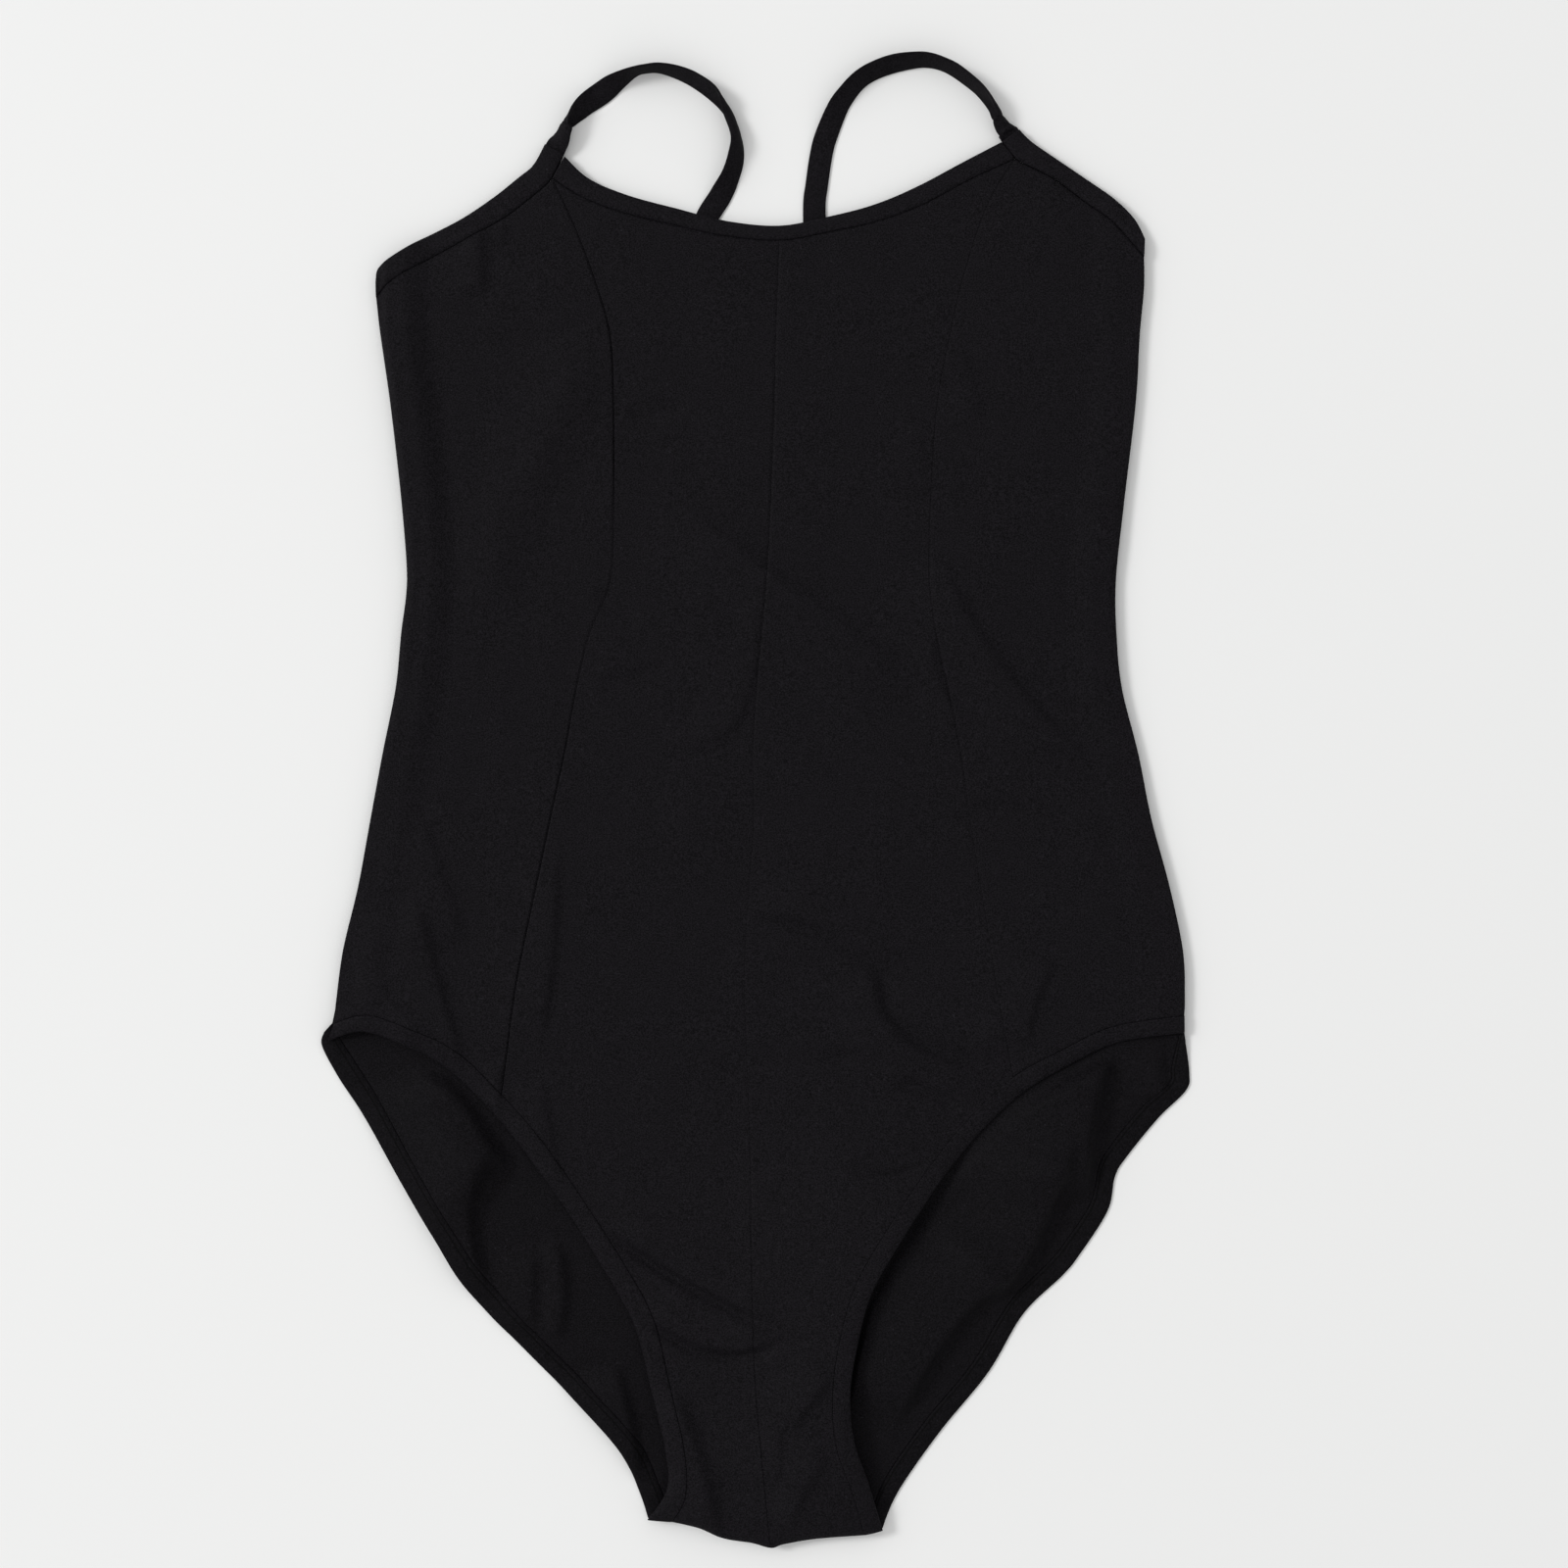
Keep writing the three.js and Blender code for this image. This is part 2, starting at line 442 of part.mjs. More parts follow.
// Height that one crease adds: a bell across its run, with its own half-width on each side, faded at
// both ends.
function creaseRun(row) {
  const from = new THREE.Vector2(row.fromX, row.fromY);
  const to = new THREE.Vector2(row.toX, row.toY);
  const mid = new THREE.Vector2(row.midX, row.midY);
  const bend = mid.multiplyScalar(2).sub(from.clone().add(to).multiplyScalar(0.5));
  return { ...row, points: new THREE.QuadraticBezierCurve(from, bend, to).getPoints(creaseSteps) };
}

function creaseHeight(crease, x, y) {
  let nearest = Infinity;
  let along = 0;
  let onLeft = true;
  for (let step = 0; step < creaseSteps; step += 1) {
    const start = crease.points[step];
    const run = crease.points[step + 1].clone().sub(start);
    const toPoint = new THREE.Vector2(x - start.x, y - start.y);
    const share = THREE.MathUtils.clamp(toPoint.dot(run) / run.lengthSq(), 0, 1);
    const distance = Math.hypot(toPoint.x - run.x * share, toPoint.y - run.y * share);
    if (distance < nearest) {
      nearest = distance;
      along = (step + share) / creaseSteps;
      onLeft = run.cross(toPoint) > 0;
    }
  }
  const halfWidth = onLeft ? crease.left : crease.right;
  const fade = smooth(along / 0.24) * smooth((1 - along) / 0.24);
  return crease.height * fade * Math.exp(-((nearest / halfWidth) ** 2));
}

const frontRuns = frontCreases.map(creaseRun);
const backRuns = backFolds.map(creaseRun);

function sideDistance(x, y) {
  const fromLeft = x - columnAt(bodySections, 'y', 'sideLeft', y);
  const fromRight = columnAt(bodySections, 'y', 'sideRight', y) - x;
  return Math.max(Math.min(fromLeft, fromRight), 0);
}

function crotchDistance(x, y) {
  return Math.max(y - columnAt(crotchRows, 'x', 'y', x), 0);
}

function bodyShare(y) {
  return smooth((y - legFadeFrom) / legFadeWidth);
}

// A rounded edge: it starts at the seam's rise, reaches its full height a radius in, stays level for a
// bit, then falls away.
function edgeRoll(distance, height) {
  if (distance < sideRadius) {
    return frontEdgeRise + (height - frontEdgeRise) * Math.sin((Math.PI / 2) * (distance / sideRadius));
  }
  return height * (1 - smooth((distance - sideFlat) / sideFade));
}

// Underside of the front over the surface.
function frontUnderside(x, y) {
  const side = x < 0 ? 'left' : 'right';
  const roll = edgeRoll(sideDistance(x, y), columnAt(sideRollRows, 'y', side, y)) * bodyShare(y);
  const puff = bodyPuff * smooth(sideDistance(x, y) / bodyPuffWidth) * bodyShare(y);
  const fold = edgeRoll(crotchDistance(x, y), crotchPuff);
  const creases = frontRuns.reduce((sum, crease) => sum + creaseHeight(crease, x, y), 0);
  return frontFloor + Math.max(roll, fold) + puff + creases;
}

// How far below the front's leg edge a point of the back lies, as a share of the clear width.
function outsideFront(x, y) {
  const rows = x < 0 ? frontHemLeftRows : frontHemRightRows;
  const narrows = (row, index) => index === 0 || Math.abs(row.edgeX) < Math.abs(rows[index - 1].edgeX);
  const usable = rows.filter(narrows);
  const below = columnAt(usable, 'edgeX', 'edgeY', x) - y;
  return smooth((below - frontEdgeClear) / frontEdgeFade);
}

// Underside of the back over the surface: flat, turned up at the side seams and the crotch fold.
function backUnderside(x, y) {
  const sideLift = (1 - Math.min(sideDistance(x, y) / backEdgeWidth, 1)) ** 2 * bodyShare(y);
  const foldLift = (1 - Math.min(crotchDistance(x, y) / backEdgeWidth, 1)) ** 2;
  const folds = backRuns.reduce((sum, fold) => sum + creaseHeight(fold, x, y), 0);
  const shown = folds < 0.02 ? 0 : folds * outsideFront(x, y);
  return backEdgeRise * Math.max(sideLift, foldLift) + shown;
}

// A binding or hem over its layer: highest at mid-width, a little thinner at its free edge.
function addTrim(name, edge, seam, underside, thickness) {
  const shares = [0, 0.3, 1];
  const crown = (share) => (share < 0.1 || share > 0.9 ? 0.8 : 1);
  addWall(
    name,
    stripGrid(edge, seam, shares),
    underside,
    (x, y, share) => underside(x, y) + thickness * crown(share),
    binding,
  );
}

// A point of a ribbon's section: share runs from -1 to 1 over the face, which is bent to an arc about its
// middle, and level is how far the point stands off the mid line. Returns its places along and through.
function sectionPoint(share, half, bend, level) {
  if (Math.abs(bend) < 0.01) {
    return { along: half * share, through: level };
  }
  const radius = half / bend;
  const sag = radius * (1 - Math.cos(bend));
  const angle = bend * share;
  return {
    along: (radius - level) * Math.sin(angle),
    through: radius - (radius - level) * Math.cos(angle) - sag / 2,
  };
}

// A ribbon carried along its stations, leaning about its own run and resting on the surface.
function addStrap(name, rows, outward) {
  const columns = ['x', 'y', 'lean', 'cup', 'width', 'raise'];
  const [x, y, lean, cup, width, raise] = columns.map(
    (column) => new THREE.SplineCurve(rows.map((row, index) => new THREE.Vector2(index, row[column]))),
  );
  const middle = (t) => new THREE.Vector3(x.getPoint(t).y, y.getPoint(t).y, 0);
  const rim = [
    ...strapShares.map((share) => ({ share, level: -strapThickness / 2 })),
    ...[...strapShares].reverse().map((share) => ({ share, level: strapThickness / 2 })),
  ];
  const positions = [];
  for (let step = 0; step <= strapSteps; step += 1) {
    const t = step / strapSteps;
    const run = middle(Math.min(t + 0.004, 1)).sub(middle(Math.max(t - 0.004, 0))).normalize();
    const turn = THREE.MathUtils.degToRad(lean.getPoint(t).y);
    const bend = THREE.MathUtils.degToRad(cup.getPoint(t).y);
    const half = Math.min(width.getPoint(t).y, strapWidth) / 2;
    const out = new THREE.Vector3(-run.y, run.x, 0).multiplyScalar(outward);
    const across = out.clone().multiplyScalar(Math.cos(turn)).setZ(Math.sin(turn));
    const upward = out.clone().multiplyScalar(-Math.sin(turn)).setZ(Math.cos(turn));
    const corners = rim.map(({ share, level }) => {
      const place = sectionPoint(share, half, bend, level);
      return middle(t).addScaledVector(across, place.along).addScaledVector(upward, place.through);
    });
    const lowest = Math.min(...corners.map((corner) => corner.z));
    const lift = Math.max(raise.getPoint(t).y, 0) - lowest;
    corners.forEach((corner) => positions.push(corner.x, corner.y, corner.z + lift));
  }
  const around = rim.length;
  const faces = [];
  const quad = (a, b, c, d) => (outward > 0 ? faces.push(a, c, b, a, d, c) : faces.push(a, b, c, a, c, d));
  for (let step = 0; step < strapSteps; step += 1) {
    for (let side = 0; side < around; side += 1) {
      const next = (side + 1) % around;
      const low = step * around;
      quad(low + side, low + around + side, low + around + next, low + next);
    }
  }
  const end = strapSteps * around;
  for (let side = 0; side + 1 < around / 2; side += 1) {
    const opposite = around - 1 - side;
    quad(side, side + 1, opposite - 1, opposite);
    quad(end + opposite, end + opposite - 1, end + side + 1, end + side);
  }
  addMesh(name, positions, faces, binding);
}

// Seam lines that neighbouring pieces share, each from its low end to its high end.
const neckLeft = curvePoints(neckRows, 'seamX', 'seamY', 0, neckCentreRow, centreSteps);
const neckRight = curvePoints(neckRows, 'seamX', 'seamY', neckCentreRow, neckRows.length - 1, centreSteps);
const armLeftLast = underarmLeftRows.length - 1;
const armRightLast = underarmRightRows.length - 1;
const armLeft = curvePoints(underarmLeftRows, 'seamX', 'seamY', 0, underarmLeftPanelRow, sideSteps);
const armRight = curvePoints(
  underarmRightRows, 'seamX', 'seamY', underarmRightPanelRow, armRightLast, sideSteps,
);
const hemLeftLast = frontHemLeftRows.length - 1;
const hemRightLast = frontHemRightRows.length - 1;
const hemSideLeft = curvePoints(frontHemLeftRows, 'seamX', 'seamY', 0, frontHemPrincessRow, sideSteps);
const hemSideRight = curvePoints(frontHemRightRows, 'seamX', 'seamY', frontHemPrincessRow, 0, sideSteps);
const hemInnerLeft = curvePoints(
  frontHemLeftRows, 'seamX', 'seamY', hemLeftLast, frontHemPrincessRow, hemSteps,
);
const hemInnerRight = curvePoints(
  frontHemRightRows, 'seamX', 'seamY', hemRightLast, frontHemPrincessRow, hemSteps,
);
const crotchLeft = curvePoints(crotchRows, 'x', 'y', 0, crotchTipRow, centreSteps);
const crotchRight = curvePoints(crotchRows, 'x', 'y', crotchTipRow, crotchRows.length - 1, centreSteps);

const princessLeft = linePoints(
  bodyLine('seamLeft', rowPoint(frontHemLeftRows[frontHemPrincessRow]), [
    ...princessUpperLeft,
    rowPoint(neckRows[0]),
  ]),
  seamSteps,
);
const princessRight = linePoints(
  bodyLine('seamRight', rowPoint(frontHemRightRows[frontHemPrincessRow]), [
    ...princessUpperRight,
    rowPoint(neckRows[neckRows.length - 1]),
  ]),
  seamSteps,
);
const centreUpper = bodySections.map((row) => ({ x: row.centre, y: row.y }));
const centreSeam = linePoints(
  [centreTip, ...centreLower, ...centreUpper, rowPoint(neckRows[neckCentreRow])],
  seamSteps + hemSteps,
);
const sideSeamLeft = linePoints(
  bodyLine('sideLeft', rowPoint(frontHemLeftRows[0]), [rowPoint(underarmLeftRows[0])]),
  seamSteps,
);
const sideSeamRight = linePoints(
  bodyLine('sideRight', rowPoint(frontHemRightRows[0]), [
    { x: 177.6, y: 233 },
    rowPoint(underarmRightRows[underarmRightRows.length - 1]),
  ]),
  seamSteps,
);
const backSideLeft = linePoints(
  bodyLine('sideLeft', rowPoint(backHemLeftRows[0]), [rowPoint(backNeckRows[0])]),
  backSeamSteps,
);
const backSideRight = linePoints(
  bodyLine('sideRight', rowPoint(backHemRightRows[0]), [rowPoint(backNeckRows[backNeckRows.length - 1])]),
  backSeamSteps,
);

const frontUpperSide = (x, y) => frontUnderside(x, y) + cloth;
const backUpperSide = (x, y) => backUnderside(x, y) + cloth;

// Back.
const backLeftLast = backHemLeftRows.length - 1;
const backRightLast = backHemRightRows.length - 1;
const backHemInnerLeft = curvePoints(backHemLeftRows, 'seamX', 'seamY', backLeftLast, 0, backHemSteps);
const backHemInnerRight = curvePoints(backHemRightRows, 'seamX', 'seamY', backRightLast, 0, backHemSteps);
const backTop = curvePoints(backNeckRows, 'seamX', 'seamY', 0, backNeckRows.length - 1, backSteps);
const backGrid = patch(
  [...backHemInnerLeft, ...backSideLeft.slice(1)],
  [...backHemInnerRight, ...backSideRight.slice(1)],
  curvePoints(crotchRows, 'x', 'y', 0, crotchRows.length - 1, backSteps),
  backTop,
);
addWall('back_panel', backGrid, backUnderside, backUpperSide, jersey);
addTrim(
  'back_binding',
  curvePoints(backNeckRows, 'edgeX', 'edgeY', 0, backNeckRows.length - 1, backSteps),
  backTop,
  backUnderside,
  backTrim,
);
addTrim(
  'leg_hem_back_left',
  curvePoints(backHemLeftRows, 'edgeX', 'edgeY', backLeftLast, 0, backHemSteps),
  backHemInnerLeft,
  backUnderside,
  backTrim,
);
addTrim(
  'leg_hem_back_right',
  curvePoints(backHemRightRows, 'edgeX', 'edgeY', backRightLast, 0, backHemSteps),
  backHemInnerRight,
  backUnderside,
  backTrim,
);

// Front.
addWall(
  'front_centre_left',
  patch([...hemInnerLeft, ...princessLeft.slice(1)], centreSeam, crotchLeft, neckLeft),
  frontUnderside,
  frontUpperSide,
  jersey,
);
addWall(
  'front_centre_right',
  patch(centreSeam, [...hemInnerRight, ...princessRight.slice(1)], crotchRight, neckRight),
  frontUnderside,
  frontUpperSide,
  jersey,
);
addWall(
  'front_side_left',
  patch(sideSeamLeft, princessLeft, hemSideLeft, armLeft),
  frontUnderside,
  frontUpperSide,
  jersey,
);
addWall(
  'front_side_right',
  patch(princessRight, sideSeamRight, hemSideRight, armRight),
  frontUnderside,
  frontUpperSide,
  jersey,
);
addTrim(
  'neck_binding',
  curvePoints(neckRows, 'edgeX', 'edgeY', 0, neckRows.length - 1, 2 * centreSteps),
  [...neckLeft, ...neckRight.slice(1)],
  frontUnderside,
  frontTrim,
);
addTrim(
  'underarm_binding_left',
  [
    ...curvePoints(underarmLeftRows, 'edgeX', 'edgeY', 0, underarmLeftPanelRow, sideSteps),
    ...curvePoints(underarmLeftRows, 'edgeX', 'edgeY', underarmLeftPanelRow, armLeftLast, apexSteps).slice(1),
  ],
  [
    ...armLeft,
    ...curvePoints(underarmLeftRows, 'seamX', 'seamY', underarmLeftPanelRow, armLeftLast, apexSteps).slice(1),
  ],
  frontUnderside,
  frontTrim,
);
addTrim(
  'underarm_binding_right',
  [
    ...curvePoints(underarmRightRows, 'edgeX', 'edgeY', 0, underarmRightPanelRow, apexSteps),
    ...curvePoints(
      underarmRightRows, 'edgeX', 'edgeY', underarmRightPanelRow, armRightLast, sideSteps,
    ).slice(1),
  ],
  [
    ...curvePoints(underarmRightRows, 'seamX', 'seamY', 0, underarmRightPanelRow, apexSteps),
    ...armRight.slice(1),
  ],
  frontUnderside,
  frontTrim,
);
addTrim(
  'leg_hem_front_left',
  [
    ...curvePoints(frontHemLeftRows, 'edgeX', 'edgeY', 0, frontHemPrincessRow, sideSteps),
    ...curvePoints(frontHemLeftRows, 'edgeX', 'edgeY', frontHemPrincessRow, hemLeftLast, hemSteps).slice(1),
  ],
  [...hemSideLeft, ...[...hemInnerLeft].reverse().slice(1)],
  frontUnderside,
  frontTrim,
);
addTrim(
  'leg_hem_front_right',
  [
    ...curvePoints(frontHemRightRows, 'edgeX', 'edgeY', hemRightLast, frontHemPrincessRow, hemSteps),
    ...curvePoints(frontHemRightRows, 'edgeX', 'edgeY', frontHemPrincessRow, 0, sideSteps).slice(1),
  ],
  [...hemInnerRight, ...hemSideRight.slice(1)],
  frontUnderside,
  frontTrim,
);

// Straps.
addStrap('strap_left', strapLeftRows, 1);
addStrap('strap_right', strapRightRows, -1);

export default leotard;
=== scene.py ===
# Camisole leotard of black cotton jersey, laid flat on its back on a pale floor.
# Tables are in millimetres; meshes are made in metres. Left and right are those of the picture.
import math

import bpy
import numpy as np
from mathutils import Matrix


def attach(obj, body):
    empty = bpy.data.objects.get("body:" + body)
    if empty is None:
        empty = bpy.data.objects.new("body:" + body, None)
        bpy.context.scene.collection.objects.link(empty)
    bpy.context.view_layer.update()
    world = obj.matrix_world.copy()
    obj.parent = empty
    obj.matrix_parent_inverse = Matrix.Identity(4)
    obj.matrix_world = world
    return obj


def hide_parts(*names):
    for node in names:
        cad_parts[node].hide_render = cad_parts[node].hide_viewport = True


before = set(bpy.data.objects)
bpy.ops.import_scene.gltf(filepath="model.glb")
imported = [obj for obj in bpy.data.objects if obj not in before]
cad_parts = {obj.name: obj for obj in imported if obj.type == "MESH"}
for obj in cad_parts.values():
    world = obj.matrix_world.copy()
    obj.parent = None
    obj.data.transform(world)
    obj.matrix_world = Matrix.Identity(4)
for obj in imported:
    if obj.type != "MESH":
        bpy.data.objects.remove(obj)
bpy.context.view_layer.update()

print("frame loaded:", len(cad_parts), "nodes")
metres = 0.001


# Tables and curves

# The named columns of a table of rows.
def table(names, rows):
    values = np.array(rows, float)
    return {name: values[:, index] for index, name in enumerate(names.split())}


# Smooth curve through rows: a cubic between neighbours, its slope at a row half the step across it.
def atRow(values, place):
    last = len(values) - 1
    low = np.clip(np.floor(place).astype(int), 0, last)
    share = place - low
    before, here = values[np.maximum(low - 1, 0)], values[low]
    there, after = values[np.minimum(low + 1, last)], values[np.minimum(low + 2, last)]
    slopeHere, slopeThere = (there - before) / 2, (after - here) / 2
    cube = 2 * here - 2 * there + slopeHere + slopeThere
    square = -3 * here + 3 * there - 2 * slopeHere - slopeThere
    return ((cube * share + square) * share + slopeHere) * share + here


# Points of two columns of a table, from one row to another in equal steps of the row count.
def curvePoints(rows, xName, yName, fromRow, toRow, steps):
    place = np.linspace(fromRow, toRow, steps + 1)
    return np.stack([atRow(rows[xName], place), atRow(rows[yName], place)], 1)


# The same smooth curve through loose points, walked in equal lengths.
def linePoints(points, steps):
    points = np.array(points, float)
    fine = np.linspace(0, len(points) - 1, 1200)
    path = np.stack([atRow(points[:, 0], fine), atRow(points[:, 1], fine)], 1)
    length = np.concatenate([[0], np.cumsum(np.hypot(*np.diff(path, axis=0).T))])
    even = np.linspace(0, length[-1], steps + 1)
    return np.stack([np.interp(even, length, path[:, k]) for k in range(2)], 1)


# An S from 0 to 1, level outside: three times the square less twice the cube.
def smooth(value):
    t = np.clip(value, 0, 1)
    return t * t * (3 - 2 * t)


# The garment's lines

bodySections = table("y sideLeft seamLeft centre seamRight sideRight", [
    (-92, -192, -110.5, -5.2, 111, 196.3), (-70, -189, -106.5, -5, 107.6, 195.4),
    (-40, -182, -100.2, -3, 102.8, 189.1), (-10, -176.5, -94, -1, 98, 181),
    (20, -171, -87.5, -1.4, 94, 175), (50, -165, -82, 0.3, 88, 167.5), (75, -162.5, -76, 2.6, 82.5, 165),
    (100, -159.8, -66.5, 4.8, 79.5, 164.8), (135, -162.3, -65, 6.7, 80, 168.5),
    (180, -167.4, -65, 8.3, 83, 173.8), (212, -172, -66.7, 9.1, 89, 175.7),
])
centreLower = [(6.8, -343), (-0.2, -268), (-1.7, -215), (-2.6, -165), (-3.8, -128)]
princessUpperLeft = [(-74, 238), (-84, 264)]
princessUpperRight = [(95.5, 240), (106, 271)]
sideUpperRight = [(177.6, 233)]

edgeColumns = "edgeX edgeY seamX seamY"
neckRows = table(edgeColumns, [
    (-87.6, 293.3, -93.2, 283.4), (-76.4, 283.1, -80, 275), (-59, 275.6, -62, 268),
    (-36, 269.4, -38, 262.2), (-13, 263.7, -14, 257), (10.5, 261.6, 10.6, 255), (31, 265.3, 32, 258.5),
    (53, 270.9, 55.5, 263.7), (73.5, 279.4, 76.5, 271.4), (94, 290.3, 97.5, 282.6),
    (112.3, 299.85, 118.6, 292.2),
])
neckCentreRow = 5
underarmLeftRows = table(edgeColumns, [
    (-174, 237, -173.9, 228.8), (-171.6, 243.4, -166.3, 236.5), (-156.4, 253.4, -152.8, 244.6),
    (-136.2, 263.9, -132, 255.8), (-120.6, 274.2, -116, 264.9), (-109, 283.4, -103, 274.7),
    (-102, 289.3, -93.8, 283.2), (-96.6, 298.9, -88, 294.2),
])
underarmLeftPanelRow = 6
underarmRightRows = table(edgeColumns, [
    (120.6, 305.5, 112.5, 300.15), (126.4, 299.8, 119, 292.3), (139.3, 290.8, 135.7, 283.6),
    (155, 280.2, 151, 272.4), (165, 272.8, 161.4, 265), (173.3, 264.4, 168.6, 257.8),
    (177.9, 255.6, 177.6, 247.4),
])
underarmRightPanelRow = 1
backNeckRows = table(edgeColumns, [
    (-173.6, 237, -173.9, 229), (-120, 226, -119, 219.5), (-60, 220, -60, 213.5), (2, 218, 2, 211.5),
    (62, 220, 62, 213.5), (122, 228, 121, 221.5), (178, 241, 177, 233),
])
frontHemLeftRows = table(edgeColumns, [
    (-196, -111.8, -193, -103.4), (-179.8, -107, -177, -99.6), (-158.2, -114.5, -154, -107.6),
    (-142, -124, -136.6, -117), (-122.6, -142.4, -116.4, -136.4), (-105.5, -163, -98.3, -156.8),
    (-84.4, -192.8, -76.7, -188.3), (-68.2, -218.9, -60, -214.4), (-55.6, -242.3, -47, -238.7),
    (-48.4, -269.8, -39.8, -267.5), (-41.6, -297.7, -33, -296.3), (-40.7, -316, -32, -318),
    (-49.6, -330.4, -38.5, -331),
])
frontHemRightRows = table(edgeColumns, [
    (196.2, -108, 196, -100), (181.6, -109.6, 180, -102), (163, -113.2, 160.4, -106),
    (143.3, -123, 139.3, -116.3), (122.6, -135.2, 117.7, -128.4), (103.3, -153.2, 97.4, -147.4),
    (83.5, -176.6, 77.2, -171.7), (66, -202.7, 58.7, -198.7), (52.4, -227, 44.8, -224),
    (45.7, -252.7, 37.6, -251), (43, -272.9, 35, -273.4), (44.8, -293.2, 36.7, -295.4),
    (51.5, -313.4, 44, -316.6), (58, -335.2, 49.7, -337),
])
hemPrincessRow = 4
backHemLeftRows = table(edgeColumns, [
    (-198.2, -107.9, -194.2, -103.4), (-199, -114.2, -190.8, -110.4), (-191.3, -129, -182.4, -123.5),
    (-179.3, -147, -171, -141.6), (-164, -174, -155.5, -169.4), (-147.8, -201, -139.7, -196),
    (-130.6, -228, -122.6, -221.4), (-104.6, -255, -98.6, -248.2), (-81.7, -278, -75.4, -271.2),
    (-62, -300, -54.7, -293.8), (-53.8, -318, -45, -313.6), (-49.6, -330.4, -38.5, -331),
])
backHemRightRows = table(edgeColumns, [
    (196.9, -112, 195.4, -103), (198.8, -126.5, 190.6, -123.4), (197.2, -134.6, 189.6, -130.6),
    (184.7, -147, 177.5, -141.6), (170, -165, 162.7, -159.6), (164.7, -174, 157, -169.4),
    (161.3, -189.7, 153.2, -186.4), (148.3, -210, 141.4, -204.4), (140.6, -219.4, 134, -213.4),
    (122.6, -237, 116.8, -231), (106.4, -264, 98.8, -260.2), (84.4, -291, 77.6, -286),
    (65.5, -318, 58.4, -314), (58, -335.2, 49.7, -337),
])
crotchRows = table("x y", [
    (-38.5, -331), (-26, -333.5), (-14.6, -338.6), (-2, -340.6), (6.8, -343), (12.8, -341.2),
    (27.7, -338.6), (49.7, -337),
])
crotchTipRow = 4


# Heights of the cloth over the floor

cloth = {
    "thickness": 1.1,  # one layer of jersey
    "cadWall": 1.4,  # the frame's wall, whose upper side the cloth keeps
    "frontFloor": 1.9,  # underside of the front where it lies on the back
    "sideRadius": 4.0, "sideFlat": 10.5, "sideFade": 14.0, "frontEdgeRise": 1.3,
    "backEdgeRise": 1.1, "backEdgeWidth": 6.0,
    "crotchPuff": 2.4, "bodyPuff": 0.8, "bodyPuffWidth": 30.0,
    "legFadeFrom": -126.0, "legFadeWidth": 20.0,
    "frontEdgeClear": 2.0, "frontEdgeFade": 9.0,
    "leastLayer": 0.3, "layerGap": 0.1,  # thinnest cloth, and the air between front and back
}
uneven = {"seed": 4, "height": 0.22, "shortest": 9, "longest": 80, "waves": 26, "growth": 0.8}
creaseLook = {"steps": 16, "reach": 3.2, "fade": 0.24}  # reach in half-widths, fade in shares of the run
sideRoll = table("y left right", [
    (-120, 1.4, 1.2), (-40, 1.6, 1.2), (20, 2.2, 1.3), (70, 3, 1.8), (120, 4.2, 2), (200, 4.8, 1.2),
    (236, 2.8, 1.2),
])
creaseColumns = "fromX fromY midX midY toX toY height left right"
